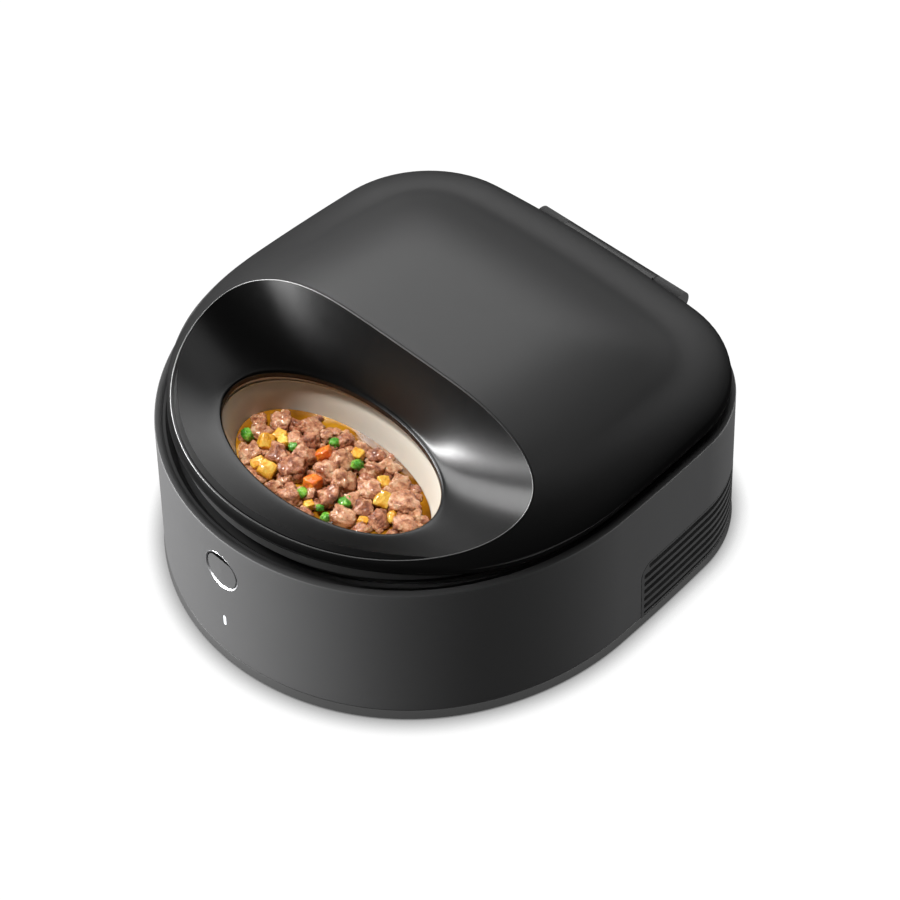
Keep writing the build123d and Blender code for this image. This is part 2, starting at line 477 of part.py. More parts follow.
# ---------------------------------------------------------------- cooling stack
cold_sink = block(COOL_X - 25, COOL_X + 25, COOL_Y - 25, COOL_Y + 25, 46.0, 53.0)
for i in range(9):
    x = COOL_X - 24 + i * 6
    cold_sink = cold_sink + block(x - 0.8, x + 0.8, COOL_Y - 25, COOL_Y + 25, 52.9, 60.0)
cooler = block(COOL_X - 20, COOL_X + 20, COOL_Y - 20, COOL_Y + 20, 42.2, 46.0)
hot_sink = block(COOL_X - 36, COOL_X + 40, COOL_Y - 36, COOL_Y + 36, 38.0, 40.9)
hot_sink = hot_sink + block(COOL_X - 21, COOL_X + 21, COOL_Y - 21, COOL_Y + 21, 40.8, 42.2)
for i in range(15):
    y = COOL_Y - 35 + i * 5
    hot_sink = hot_sink + block(COOL_X - 36, COOL_X + 40, y - 0.7, y + 0.7, 23.0, 38.1)


def fan_frame(size, z0, z1, x, y, bore, hub):
    f = extrude(Pos(x, y, z0) * RectangleRounded(size, size, 4), amount=z1 - z0)
    f = f - cyl(bore, z0 - 1, z1 + 1, x, y)
    spokes = cyl(hub, z0, z0 + 1.6, x, y) + Pos(x, y, z0 + 0.8) * Box(2 * bore + 2, 3, 1.6) + Pos(x, y, z0 + 0.8) * Box(3, 2 * bore + 2, 1.6)
    f = f + spokes
    for sx in (-1, 1):
        for sy in (-1, 1):
            f = f - cyl(2.1, z0 - 1, z1 + 1, x + sx * (size / 2 - 4.2), y + sy * (size / 2 - 4.2))
    return f + cyl(1.5, z0 + 1.5, z0 + (z1 - z0) * 0.55, x, y)


def impeller(z0, z1, x, y, hub, tip, blades, pin_top):
    w = cyl(hub, z0, z1, x, y)
    for i in range(blades):
        a = 360.0 * i / blades
        blade = Box(tip - hub + 2, 1.3, (z1 - z0) * 1.15)
        blade = Pos((tip + hub) / 2 - 1, 0, 0) * Rot(42, 0, 0) * blade
        w = w + Pos(x, y, (z0 + z1) / 2) * Rot(0, 0, a) * blade
    w = w & cyl(tip, z0, z1, x, y)
    return w - cyl(1.57, z0 - 1, pin_top, x, y)


hot_frame = fan_frame(80, 6.4, 21.4, COOL_X, COOL_Y, 37.8, 17)
hot_wheel = impeller(8.6, 20.4, COOL_X, COOL_Y, 16, 36.6, 7, 15.2)
CFX, CFY = 12.0, 82.0
cold_frame = fan_frame(40, 52.2, 61.6, CFX, CFY, 18.6, 9)
cold_wheel = impeller(54.4, 60.8, CFX, CFY, 8.2, 17.8, 7, 57.9)

# ---------------------------------------------------------------- write every piece
PARTS = {
    "base_pan": pan, "outer_housing": housing, "top_deck": deck, "inner_tub": tub, "tub_insulation": foam,
    "vent_panel_right": vent_right, "vent_panel_left": vent_left,
    "button_ring": ring, "power_button": cap, "button_switch": switch, "front_board": front_board + lamp, "status_lens": lens,
    "control_board": board, "dc_inlet": jack, "rubber_feet": feet, "base_screws": screws,
    "hinge_end_knuckles": bracket, "hinge_pin": hinge_pin, "lid_hinge_knuckle": knuckle,
    "lid_shell": lid_shell, "lid_dish": dish, "dish_trim": trim, "lid_liner": liner, "lid_gasket": gasket,
    "shutter_bridge": bridge, "shutter_axle": axle, "shutter_disc": shutter, "shutter_gear": shutter_gear,
    "shutter_pinion": pinion_sh, "shutter_motor": shutter_motor,
    "food_tray": tray, "bowl_front": bowls[0], "bowl_right": bowls[1], "bowl_left": bowls[2], "wet_food": food, "turntable": turntable, "turntable_bush": bush, "turntable_gear": big_gear,
    "tray_spindle": spindle, "motor_pinion": pinion, "tray_motor": motor,
    "cold_sink": cold_sink, "cooler_module": cooler, "hot_sink": hot_sink,
    "hot_fan_frame": hot_frame, "hot_fan_wheel": hot_wheel, "cold_fan_frame": cold_frame, "cold_fan_wheel": cold_wheel,
}
for name, shape in PARTS.items():
    save(shape, name)
print("half width", round(HALF_W, 2), "back", round(Y_BACK, 2), "nodes", len(PARTS))
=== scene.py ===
import json
import math
import random

import bmesh
import bpy
import numpy as np
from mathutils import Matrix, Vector, noise

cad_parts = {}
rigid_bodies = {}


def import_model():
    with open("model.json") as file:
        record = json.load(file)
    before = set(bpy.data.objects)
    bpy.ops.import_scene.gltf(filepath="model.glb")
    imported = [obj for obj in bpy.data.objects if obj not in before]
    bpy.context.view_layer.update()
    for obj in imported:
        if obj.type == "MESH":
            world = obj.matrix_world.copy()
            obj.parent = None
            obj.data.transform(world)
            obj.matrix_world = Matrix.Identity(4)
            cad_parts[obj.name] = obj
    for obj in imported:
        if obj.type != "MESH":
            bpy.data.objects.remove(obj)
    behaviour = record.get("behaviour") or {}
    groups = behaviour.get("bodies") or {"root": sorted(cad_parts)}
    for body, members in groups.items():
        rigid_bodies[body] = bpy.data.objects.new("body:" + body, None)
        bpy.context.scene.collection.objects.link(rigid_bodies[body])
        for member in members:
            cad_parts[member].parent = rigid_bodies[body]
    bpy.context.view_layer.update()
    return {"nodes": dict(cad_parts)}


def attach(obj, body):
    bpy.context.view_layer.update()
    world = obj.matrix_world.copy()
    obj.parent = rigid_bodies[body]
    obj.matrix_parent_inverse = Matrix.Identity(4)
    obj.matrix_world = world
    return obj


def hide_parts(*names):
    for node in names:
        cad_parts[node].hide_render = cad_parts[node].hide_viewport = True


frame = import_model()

NODES = frame["nodes"]
random.seed(7)
rng = np.random.default_rng(7)

S = 1.35                 # the frame's Y shift of the part, mm
MM = 0.001


# ---------------------------------------------------------------- materials
def srgb(v):
    v = v / 255.0
    return v / 12.92 if v <= 0.04045 else ((v + 0.055) / 1.055) ** 2.4


def grey(v, tint=(1.0, 1.0, 1.0)):
    g = srgb(v)
    return (g * tint[0], g * tint[1], g * tint[2], 1.0)


def rgb(r, g, b):
    return (srgb(r), srgb(g), srgb(b), 1.0)


def new_mat(name):
    m = bpy.data.materials.new(name)
    m.use_nodes = True
    nt = m.node_tree
    bsdf = nt.nodes["Principled BSDF"]
    return m, nt, bsdf


def node(nt, kind, **inputs):
    n = nt.nodes.new(kind)
    for k, v in inputs.items():
        n.inputs[k.replace("_", " ")].default_value = v
    return n


def coords(nt):
    return nt.nodes.new("ShaderNodeTexCoord").outputs["Object"]


def ramp(nt, fac, stops):
    r = nt.nodes.new("ShaderNodeValToRGB")
    el = r.color_ramp.elements
    while len(el) < len(stops):
        el.new(0.5)
    for e, (p, c) in zip(el, stops):
        e.position = p
        e.color = c
    nt.links.new(fac, r.inputs["Fac"])
    return r.outputs["Color"]


def plastic(name, base, rough, grain=1800.0, bump=0.05, var=0.06, rvar=0.06, coat=0.0, spec=0.5, sss=0.0, wear=0.0):
    """Moulded plastic: fine surface grain as bump, slow changes of tone and gloss."""
    m, nt, b = new_mat(name)
    co = coords(nt)
    big = node(nt, "ShaderNodeTexNoise", Scale=14.0, Detail=3.0, Roughness=0.55)
    mid = node(nt, "ShaderNodeTexNoise", Scale=160.0, Detail=4.0, Roughness=0.6)
    fine = node(nt, "ShaderNodeTexNoise", Scale=grain, Detail=2.0, Roughness=0.5)
    for n in (big, mid, fine):
        nt.links.new(co, n.inputs["Vector"])
    lo = tuple(c * (1 - var) for c in base[:3]) + (1.0,)
    hi = tuple(min(1.0, c * (1 + var)) for c in base[:3]) + (1.0,)
    mix = nt.nodes.new("ShaderNodeMath"); mix.operation = "MULTIPLY_ADD"
    nt.links.new(mid.outputs["Fac"], mix.inputs[0]); mix.inputs[1].default_value = 0.35
    half = nt.nodes.new("ShaderNodeMath"); half.operation = "MULTIPLY"; half.inputs[1].default_value = 0.65
    nt.links.new(big.outputs["Fac"], half.inputs[0]); nt.links.new(half.outputs[0], mix.inputs[2])
    nt.links.new(ramp(nt, mix.outputs[0], [(0.3, lo), (0.7, hi)]), b.inputs["Base Color"])
    rr = nt.nodes.new("ShaderNodeMapRange")
    rr.inputs["From Min"].default_value = 0.3; rr.inputs["From Max"].default_value = 0.7
    rr.inputs["To Min"].default_value = max(0.02, rough - rvar); rr.inputs["To Max"].default_value = rough + rvar
    nt.links.new(mid.outputs["Fac"], rr.inputs["Value"])
    nt.links.new(rr.outputs["Result"], b.inputs["Roughness"])
    if bump:
        bp = nt.nodes.new("ShaderNodeBump")
        bp.inputs["Strength"].default_value = bump
        bp.inputs["Distance"].default_value = 0.0002
        nt.links.new(fine.outputs["Fac"], bp.inputs["Height"])
        nt.links.new(bp.outputs["Normal"], b.inputs["Normal"])
    b.inputs["Specular IOR Level"].default_value = spec
    if coat:
        b.inputs["Coat Weight"].default_value = coat
        b.inputs["Coat Roughness"].default_value = 0.03
    if sss:
        b.inputs["Subsurface Weight"].default_value = sss
        b.inputs["Subsurface Radius"].default_value = (1.0, 0.6, 0.35)
        b.inputs["Subsurface Scale"].default_value = 0.003
    return m


def metal(name, base, rough, axis=(1.0, 1.0, 40.0), scale=60.0):
    """Metal with fine drawn or turned lines and a slow change of gloss."""
    m, nt, b = new_mat(name)
    co = coords(nt)
    mp = nt.nodes.new("ShaderNodeMapping")
    mp.inputs["Scale"].default_value = axis
    nt.links.new(co, mp.inputs["Vector"])
    n = node(nt, "ShaderNodeTexNoise", Scale=scale, Detail=5.0, Roughness=0.6)
    nt.links.new(mp.outputs["Vector"], n.inputs["Vector"])
    lo = tuple(c * 0.85 for c in base[:3]) + (1.0,)
    nt.links.new(ramp(nt, n.outputs["Fac"], [(0.3, lo), (0.7, base)]), b.inputs["Base Color"])
    rr = nt.nodes.new("ShaderNodeMapRange")
    rr.inputs["To Min"].default_value = max(0.03, rough - 0.07); rr.inputs["To Max"].default_value = rough + 0.1
    nt.links.new(n.outputs["Fac"], rr.inputs["Value"])
    nt.links.new(rr.outputs["Result"], b.inputs["Roughness"])
    b.inputs["Metallic"].default_value = 1.0
    return m


def foam_mat(name, base):
    m, nt, b = new_mat(name)
    co = coords(nt)
    v = node(nt, "ShaderNodeTexVoronoi", Scale=420.0)
    nt.links.new(co, v.inputs["Vector"])
    lo = tuple(c * 0.8 for c in base[:3]) + (1.0,)
    nt.links.new(ramp(nt, v.outputs["Distance"], [(0.0, lo), (0.6, base)]), b.inputs["Base Color"])
    bp = nt.nodes.new("ShaderNodeBump"); bp.inputs["Strength"].default_value = 0.5; bp.inputs["Distance"].default_value = 0.0005
    nt.links.new(v.outputs["Distance"], bp.inputs["Height"]); nt.links.new(bp.outputs["Normal"], b.inputs["Normal"])
    b.inputs["Roughness"].default_value = 0.85
    return m


def board_mat(name):
    """Circuit board: solder mask with traces, pads and darker parts standing above it."""
    m, nt, b = new_mat(name)
    co = coords(nt)
    br = nt.nodes.new("ShaderNodeTexBrick")
    br.inputs["Scale"].default_value = 130.0
    br.inputs["Color1"].default_value = (0.010, 0.085, 0.030, 1)
    br.inputs["Color2"].default_value = (0.014, 0.110, 0.040, 1)
    br.inputs["Mortar"].default_value = (0.030, 0.200, 0.070, 1)
    br.inputs["Mortar Size"].default_value = 0.03
    nt.links.new(co, br.inputs["Vector"])
    v = node(nt, "ShaderNodeTexVoronoi", Scale=300.0)
    nt.links.new(co, v.inputs["Vector"])
    pad = ramp(nt, v.outputs["Distance"], [(0.10, (1, 1, 1, 1)), (0.14, (0, 0, 0, 1))])
    mx = nt.nodes.new("ShaderNodeMixRGB")
    nt.links.new(pad, mx.inputs["Fac"]); nt.links.new(br.outputs["Color"], mx.inputs["Color1"])
    mx.inputs["Color2"].default_value = (0.55, 0.50, 0.36, 1)
    nt.links.new(mx.outputs["Color"], b.inputs["Base Color"])
    b.inputs["Roughness"].default_value = 0.3
    return m


CHARCOAL = plastic("charcoal_wall", grey(70, (1.0, 1.0, 1.01)), 0.52, var=0.03, rvar=0.012, bump=0.09, spec=0.22)
CHARCOAL_LID = plastic("charcoal_lid", grey(52, (1.0, 1.0, 1.01)), 0.45, var=0.03, rvar=0.012, bump=0.09, spec=0.52)
GLOSS = plastic("dish_gloss", grey(13), 0.26, bump=0.0, var=0.02, rvar=0.01, spec=0.36)
TRIM = plastic("dish_trim_edge", grey(50), 0.30, bump=0.0, rvar=0.02, spec=0.6)
BAND = plastic("base_band", grey(58), 0.5, var=0.03, rvar=0.012, bump=0.09, spec=0.3)
CREAM = plastic("tray_cream", rgb(236, 232, 220), 0.34, var=0.015, rvar=0.03, bump=0.02, sss=0.05)
PALE = plastic("pale_moulding", rgb(196, 190, 180), 0.5, var=0.03)
MIDGREY = plastic("grey_moulding", grey(170), 0.48, var=0.03)
INNER = plastic("inner_grey", grey(150), 0.5, var=0.03)
# black moulding; also used as painted shade on the inner faces of the vent slots and on the seam lip
BLACK = plastic("black_moulding", grey(28), 0.5)
NATURAL = plastic("gear_white", rgb(226, 224, 214), 0.4, var=0.02, sss=0.15)
RUBBER = plastic("soft_rubber", grey(38), 0.8, grain=900.0, bump=0.3, spec=0.3)
SEAL = plastic("seal_rubber", grey(60), 0.75, grain=900.0, bump=0.2, spec=0.3)
STEEL = metal("turned_steel", (0.60, 0.60, 0.62, 1), 0.26)
CAN = metal("pressed_steel", (0.52, 0.52, 0.54, 1), 0.34, axis=(1, 1, 1))
ZINC = metal("zinc_screw", (0.62, 0.62, 0.64, 1), 0.30, axis=(1, 1, 1), scale=400)
ALU = metal("extruded_alu", (0.74, 0.75, 0.77, 1), 0.32, axis=(60, 1, 1))
BRASS = metal("brass_gear", (0.70, 0.50, 0.22, 1), 0.28)
RING = metal("bright_ring", (0.90, 0.90, 0.92, 1), 0.30, axis=(1, 1, 1))
FOAM = foam_mat("rigid_foam", (0.74, 0.71, 0.63, 1))
BOARD = board_mat("circuit_board")
CERAMIC = plastic("white_ceramic", grey(228), 0.35, var=0.02)

LAMP, lnt, lb = new_mat("lamp_lens")
lb.inputs["Base Color"].default_value = (0.9, 0.93, 1.0, 1)
lb.inputs["Roughness"].default_value = 0.35
lb.inputs["Emission Color"].default_value = (0.92, 0.96, 1.0, 1)
_n = node(lnt, "ShaderNodeTexNoise", Scale=200.0)
lnt.links.new(coords(lnt), _n.inputs["Vector"])
_m = lnt.nodes.new("ShaderNodeMapRange")
_m.inputs["To Min"].default_value = 1.6; _m.inputs["To Max"].default_value = 2.2
lnt.links.new(_n.outputs["Fac"], _m.inputs["Value"])
lnt.links.new(_m.outputs["Result"], lb.inputs["Emission Strength"])

NODE_MATS = {
    "base_pan": CHARCOAL, "outer_housing": CHARCOAL, "top_deck": CHARCOAL, "inner_tub": MIDGREY, "tub_insulation": FOAM, "bowl_front": CREAM, "bowl_right": CREAM, "bowl_left": CREAM,
    "vent_panel_right": CHARCOAL, "vent_panel_left": CHARCOAL, "button_ring": RING, "power_button": CHARCOAL,
    "button_switch": BLACK, "front_board": BOARD, "status_lens": LAMP, "control_board": BOARD, "dc_inlet": BLACK,
    "rubber_feet": RUBBER, "base_screws": ZINC, "hinge_end_knuckles": CHARCOAL, "hinge_pin": STEEL,
    "lid_hinge_knuckle": CHARCOAL_LID, "lid_shell": CHARCOAL_LID, "lid_dish": GLOSS, "dish_trim": TRIM,
    "lid_liner": MIDGREY, "lid_gasket": SEAL, "shutter_bridge": INNER, "shutter_axle": STEEL, "shutter_disc": PALE,
    "shutter_gear": NATURAL, "shutter_pinion": NATURAL, "shutter_motor": CAN, "food_tray": CREAM, "wet_food": CREAM,
    "turntable": INNER, "turntable_bush": NATURAL, "turntable_gear": NATURAL, "tray_spindle": STEEL,
    "motor_pinion": BRASS, "tray_motor": CAN, "cold_sink": ALU, "cooler_module": CERAMIC, "hot_sink": ALU,
    "hot_fan_frame": BLACK, "hot_fan_wheel": BLACK, "cold_fan_frame": BLACK, "cold_fan_wheel": BLACK,
}
for name, o in NODES.items():
    o.data.materials.clear()
    o.data.materials.append(NODE_MATS.get(name, CREAM))


# ---------------------------------------------------------------- outline of the housing, mm
Y_FRONT = -162.3
RADII = [145.9, 170.8, 1381.0, 73.8, 952.7]
ENDS = [-33.5, 0.0, 3.2]
FLARE = 5.0
Z_SEAM, Z_RIM, LEDGE = 8.4, 103.2, 4.7


def arc_list():
    cx, cy, start, out = 0.0, Y_FRONT + RADII[0], -90.0, []
    for k in range(3):
        out.append((cx, cy, RADII[k], start, ENDS[k]))
        t = math.radians(ENDS[k])
        d = RADII[k] - RADII[k + 1]
        cx, cy, start = cx + d * math.cos(t), cy + d * math.sin(t), ENDS[k]
    last = math.degrees(math.acos(cx / (RADII[4] - RADII[3])))
    out.append((cx, cy, RADII[3], start, last))
    t = math.radians(last)
    out.append((0.0, cy + (RADII[3] - RADII[4]) * math.sin(t), RADII[4], last, 90.0))
    return out


def outline(count):
    """Points and outward normals at equal steps along the closed outline, from the front round by +X."""
    P, N = [], []
    for cx, cy, r, a, b in arc_list():
        n = max(8, int(abs(b - a) * math.pi / 180 * r * 4))
        t = np.radians(np.linspace(a, b, n, endpoint=False))
        P.append(np.stack([cx + r * np.cos(t), cy + r * np.sin(t)], -1))
        N.append(np.stack([np.cos(t), np.sin(t)], -1))
    P, N = np.vstack(P), np.vstack(N)
    P = np.vstack([P, P[::-1] * [-1, 1]])
    N = np.vstack([N, N[::-1] * [-1, 1]])
    d = np.linalg.norm(np.roll(P, -1, 0) - P, axis=1)
    s = np.concatenate([[0], np.cumsum(d)])
    want = np.linspace(0, s[-1], count, endpoint=False)
    P2 = np.vstack([P, P[:1]])
    N2 = np.vstack([N, N[:1]])
    out_p = np.stack([np.interp(want, s, P2[:, k]) for k in (0, 1)], -1)
    out_n = np.stack([np.interp(want, s, N2[:, k]) for k in (0, 1)], -1)
    return out_p, out_n / np.linalg.norm(out_n, axis=1)[:, None]


def dist_to(P, A):
    """Distance of points P from the closed polyline A."""
    B = np.roll(A, -1, 0)
    d = B - A
    L = (d ** 2).sum(1) + 1e-12
    out = np.empty(len(P))
    for i in range(0, len(P), 4000):
        q = P[i:i + 4000]
        t = np.clip(((q[:, None] - A[None]) * d).sum(-1) / L, 0, 1)
        out[i:i + 4000] = np.linalg.norm(q[:, None] - (A[None] + t[..., None] * d[None]), axis=-1).min(1)
    return out


OUT_P, OUT_N = outline(480)
FINE_P, _ = outline(900)


def crown(P, off):
    t = np.clip((off - 3.49) / 93.83, 0.0, 1.0)
    y = P[:, 1] - 52.3
    return 113.26 + 0.03 * (y + 50) + 35.07 * np.maximum(1 - (1 - t) ** 1.76, 0) ** 0.775 + (
        -0.09 * (y + 50) - 0.0001 * P[:, 0] ** 2) * np.minimum(1, 3 * t)


# the crown without the creases of its distance field: a blurred copy takes over away from the edge
STEP, SPREAD = 2.5, 13.0
GX = np.arange(-190, 190.1, STEP)
GXX, GYY = np.meshgrid(GX, GX, indexing="ij")
GP = np.column_stack([GXX.ravel(), GYY.ravel()])
GD = dist_to(GP, FINE_P)
inside = np.interp(np.arctan2(GP[:, 1] + 20, GP[:, 0]), np.sort(np.arctan2(FINE_P[:, 1] + 20, FINE_P[:, 0])),
                   np.hypot(FINE_P[:, 0], FINE_P[:, 1] + 20)[np.argsort(np.arctan2(FINE_P[:, 1] + 20, FINE_P[:, 0]))])
GD = np.where(np.hypot(GP[:, 0], GP[:, 1] + 20) <= inside, GD, 0.0)
GH = crown(GP, GD).reshape(GXX.shape)
kern = np.exp(-0.5 * (np.arange(-16, 17) * STEP / SPREAD) ** 2)
kern /= kern.sum()
GB = np.apply_along_axis(lambda r: np.convolve(np.pad(r, 16, mode="edge"), kern, mode="valid"), 0, GH)
GB = np.apply_along_axis(lambda r: np.convolve(np.pad(r, 16, mode="edge"), kern, mode="valid"), 1, GB)


def dome(P, off=None):
    """Height of the lid's top surface over plan points P."""
    if off is None:
        off = dist_to(P, FINE_P)
    off = np.broadcast_to(np.asarray(off, float), (len(P),))
    z = crown(P, off)
    u = np.clip((P[:, 0] - GX[0]) / STEP, 0, len(GX) - 1.001)
    v = np.clip((P[:, 1] - GX[0]) / STEP, 0, len(GX) - 1.001)
    i, j = u.astype(int), v.astype(int)
    fu, fv = u - i, v - j
    blur = (GB[i, j] * (1 - fu) * (1 - fv) + GB[i + 1, j] * fu * (1 - fv) + GB[i, j + 1] * (1 - fu) * fv + GB[i + 1, j + 1] * fu * fv)
    w = np.clip((off - 18.0) / 30.0, 0, 1)
    w = w * w * (3 - 2 * w)
    return z + (blur - z) * w


def mesh(name, verts, faces, mat, body, smooth=True, sharp=None, replaces=()):
    """verts in mm in the part's own frame."""
    v = np.asarray(verts, float).copy()
    v[:, 1] += S
    me = bpy.data.meshes.new(name)
    me.from_pydata((v * MM).tolist(), [], faces)
    me.update()
    me.polygons.foreach_set("use_smooth", [smooth] * len(me.polygons))
    if sharp is not None:
        me.set_sharp_from_angle(angle=math.radians(sharp))
    o = bpy.data.objects.new(name, me)
    bpy.context.scene.collection.objects.link(o)
    for m in (mat if isinstance(mat, (list, tuple)) else [mat]):
        me.materials.append(m)
    if body:
        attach(o, body)
    if replaces:
        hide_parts(*replaces)
    return o


def rows_to_mesh(rows, closed_profile=False, flip=False):
    """rows: list of (n,3) arrays, each a closed ring; neighbours are joined by quads."""
    n = len(rows[0])
    verts = np.vstack(rows)
    faces = []
    pairs = list(zip(range(len(rows) - 1), range(1, len(rows))))
    if closed_profile:
        pairs.append((len(rows) - 1, 0))
    for a, b in pairs:
        for i in range(n):
            j = (i + 1) % n
            f = (a * n + i, a * n + j, b * n + j, b * n + i)
            faces.append(f[::-1] if flip else f)
    return verts, faces


def ring(off, z, P=None, N=None):
    P = OUT_P if P is None else P
    N = OUT_N if N is None else N
    off = np.broadcast_to(np.asarray(off, float), (len(P),))
    z = np.broadcast_to(np.asarray(z, float), (len(P),))
    q = P - off[:, None] * N
    return np.column_stack([q, z])


def smoothstep(x, a, b):
    t = np.clip((x - a) / (b - a), 0, 1)
    return t * t * (3 - 2 * t)


def fillet_profile(pts, radius, steps=5):
    """Rounds the inner corners of an open profile of (off, z) points."""
    out = [pts[0]]
    for i in range(1, len(pts) - 1):
        p, a, b = np.array(pts[i], float), np.array(pts[i - 1], float), np.array(pts[i + 1], float)
        r = radius[i] if isinstance(radius, (list, tuple)) else radius
        if r <= 0:
            out.append(tuple(p)); continue
        la, lb_ = np.linalg.norm(a - p), np.linalg.norm(b - p)
        r = min(r, la * 0.45, lb_ * 0.45)
        s, e = p + (a - p) / la * r, p + (b - p) / lb_ * r
        for k in range(steps + 1):
            t = k / steps
            out.append(tuple((1 - t) ** 2 * s + 2 * t * (1 - t) * p + t ** 2 * e))
    out.append(pts[-1])
    return out


def wall_off(z):
    return -FLARE * (Z_RIM - z) / (Z_RIM - Z_SEAM)


# ---------------------------------------------------------------- housing wall, ledge and groove
prof = [(wall_off(Z_SEAM + 0.15) + 0.45, Z_SEAM + 0.15), (wall_off(Z_SEAM + 0.15), Z_SEAM + 0.15), (wall_off(60), 60.0), (0.0, Z_RIM),
        (3.4, Z_RIM), (6.6, Z_RIM - 1.7), (8.6, Z_RIM - 4.6), (9.3, Z_RIM - 6.1), (LEDGE + 9.0, Z_RIM - 6.15)]
prof = fillet_profile(prof, [0, 0.35, 0, 0.8, 1.5, 1.6, 1.2, 0.7, 0], 5)
fine = []
for a, b in zip(prof[:-1], prof[1:]):
    k = max(1, int(abs(b[1] - a[1]) / 6))
    for i in range(k):
        fine.append((a[0] + (b[0] - a[0]) * i / k, a[1] + (b[1] - a[1]) * i / k))
fine.append(prof[-1])
inner = [(LEDGE + 9.0, Z_RIM - 6.5), (2.9, Z_RIM - 6.6), (2.9, Z_RIM - 8), (2.9 + wall_off(Z_SEAM + 0.15), Z_SEAM + 0.15)]
rows = [ring(o, z) for o, z in fine + inner]
V, F = rows_to_mesh(rows, closed_profile=True, flip=False)
wall = mesh("housing_wall", V, F, CHARCOAL, "body", sharp=35, replaces=("outer_housing",))


def cutter(name, verts, faces):
    me = bpy.data.meshes.new(name)
    v = np.asarray(verts, float).copy(); v[:, 1] += S
    me.from_pydata((v * MM).tolist(), [], faces)
    me.update()
    bm = bmesh.new(); bm.from_mesh(me); bmesh.ops.recalc_face_normals(bm, faces=bm.faces); bm.to_mesh(me); bm.free()
    o = bpy.data.objects.new(name, me)
    bpy.context.scene.collection.objects.link(o)
    return o


def prism_x(poly, x0, x1):
    """Prism along X through (y, z) points."""
    n = len(poly)
    v = [(x0, y, z) for y, z in poly] + [(x1, y, z) for y, z in poly]
    f = [tuple(range(n))[::-1], tuple(range(n, 2 * n))]
    f += [(i, (i + 1) % n, n + (i + 1) % n, n + i) for i in range(n)]
    return v, f


def prism_y(poly, y0, y1):
    n = len(poly)
    v = [(x, y0, z) for x, z in poly] + [(x, y1, z) for x, z in poly]
    f = [tuple(range(n)), tuple(range(n, 2 * n))[::-1]]
    f += [(i, n + i, n + (i + 1) % n, (i + 1) % n) for i in range(n)]
    return v, f


def rounded(y0, y1, z0, z1, r, steps=10):
    pts = []
    for cy, cz, a in ((y1 - r, z1 - r, 0), (y0 + r, z1 - r, 90), (y0 + r, z0 + r, 180), (y1 - r, z0 + r, 270)):
        for k in range(steps + 1):
            t = math.radians(a + 90 * k / steps)
            pts.append((cy + r * math.cos(t), cz + r * math.sin(t)))
    return pts


def boolean(o, cutters, op="DIFFERENCE"):
    for c in cutters:
        m = o.modifiers.new("cut", "BOOLEAN")
        m.operation = op
        m.solver = "EXACT"
        m.object = c
    dg = bpy.context.evaluated_depsgraph_get()
    me = bpy.data.meshes.new_from_object(o.evaluated_get(dg))
    o.modifiers.clear()
    old = o.data
    o.data = me
    bpy.data.meshes.remove(old)
    for c in cutters:
        cm = c.data
        bpy.data.objects.remove(c)
        bpy.data.meshes.remove(cm)


VENT_Y0, VENT_Y1, VENT_TOP = 14.0, 126.0, 51.0
cuts = []
for s in (-1, 1):
    v, f = prism_x(rounded(VENT_Y0 - 0.05, VENT_Y1 + 0.05, -20.0, VENT_TOP + 0.05, 10.0), s * 70, s * 175)
    cuts.append(cutter("c", v, f))
circle = [(13.35 * math.cos(t), 76.5 + 13.35 * math.sin(t)) for t in np.linspace(0, 2 * math.pi, 96, endpoint=False)]
v, f = prism_y(circle, -180, -150)
cuts.append(cutter("c", v, f))
v, f = prism_y(rounded(-1.1, 1.1, 35 - 3.85, 35 + 3.85, 1.099, 8), -180, -150)
cuts.append(cutter("c", v, f))
circle = [(-62 + 4.6 * math.cos(t), 24 + 4.6 * math.sin(t)) for t in np.linspace(0, 2 * math.pi, 48, endpoint=False)]
v, f = prism_y(circle, 130, 160)
cuts.append(cutter("c", v, f))
boolean(wall, cuts)
wall.data.polygons.foreach_set("use_smooth", [True] * len(wall.data.polygons))
wall.data.set_sharp_from_angle(angle=math.radians(35))


# ---------------------------------------------------------------- base band below the seam
b0 = wall_off(Z_SEAM)
prof = [(b0 + 3.2, Z_SEAM - 1.0), (b0 + 0.35, Z_SEAM - 1.0), (b0 - 0.9, 1.5), (b0 - 0.2, 0.7), (b0 + 6.0, 0.8)]
prof = fillet_profile(prof, [0, 0.3, 0.5, 0.6, 0], 5)
rows = [ring(o, z) for o, z in prof]
V, F = rows_to_mesh(rows, closed_profile=True, flip=False)
band = mesh("base_band", V, F, BAND, "body", sharp=40)
# thin lip in the seam between wall and band, coloured with the black material as painted shade of the groove
prof = [(b0 + 2.9, Z_SEAM + 0.3), (b0 + 0.5, Z_SEAM + 0.3), (b0 + 0.5, Z_SEAM - 0.95), (b0 + 2.9, Z_SEAM - 0.95)]
V, F = rows_to_mesh([ring(o, z) for o, z in prof], closed_profile=True, flip=False)
mesh("seam_lip", V, F, BLACK, "body", sharp=40)

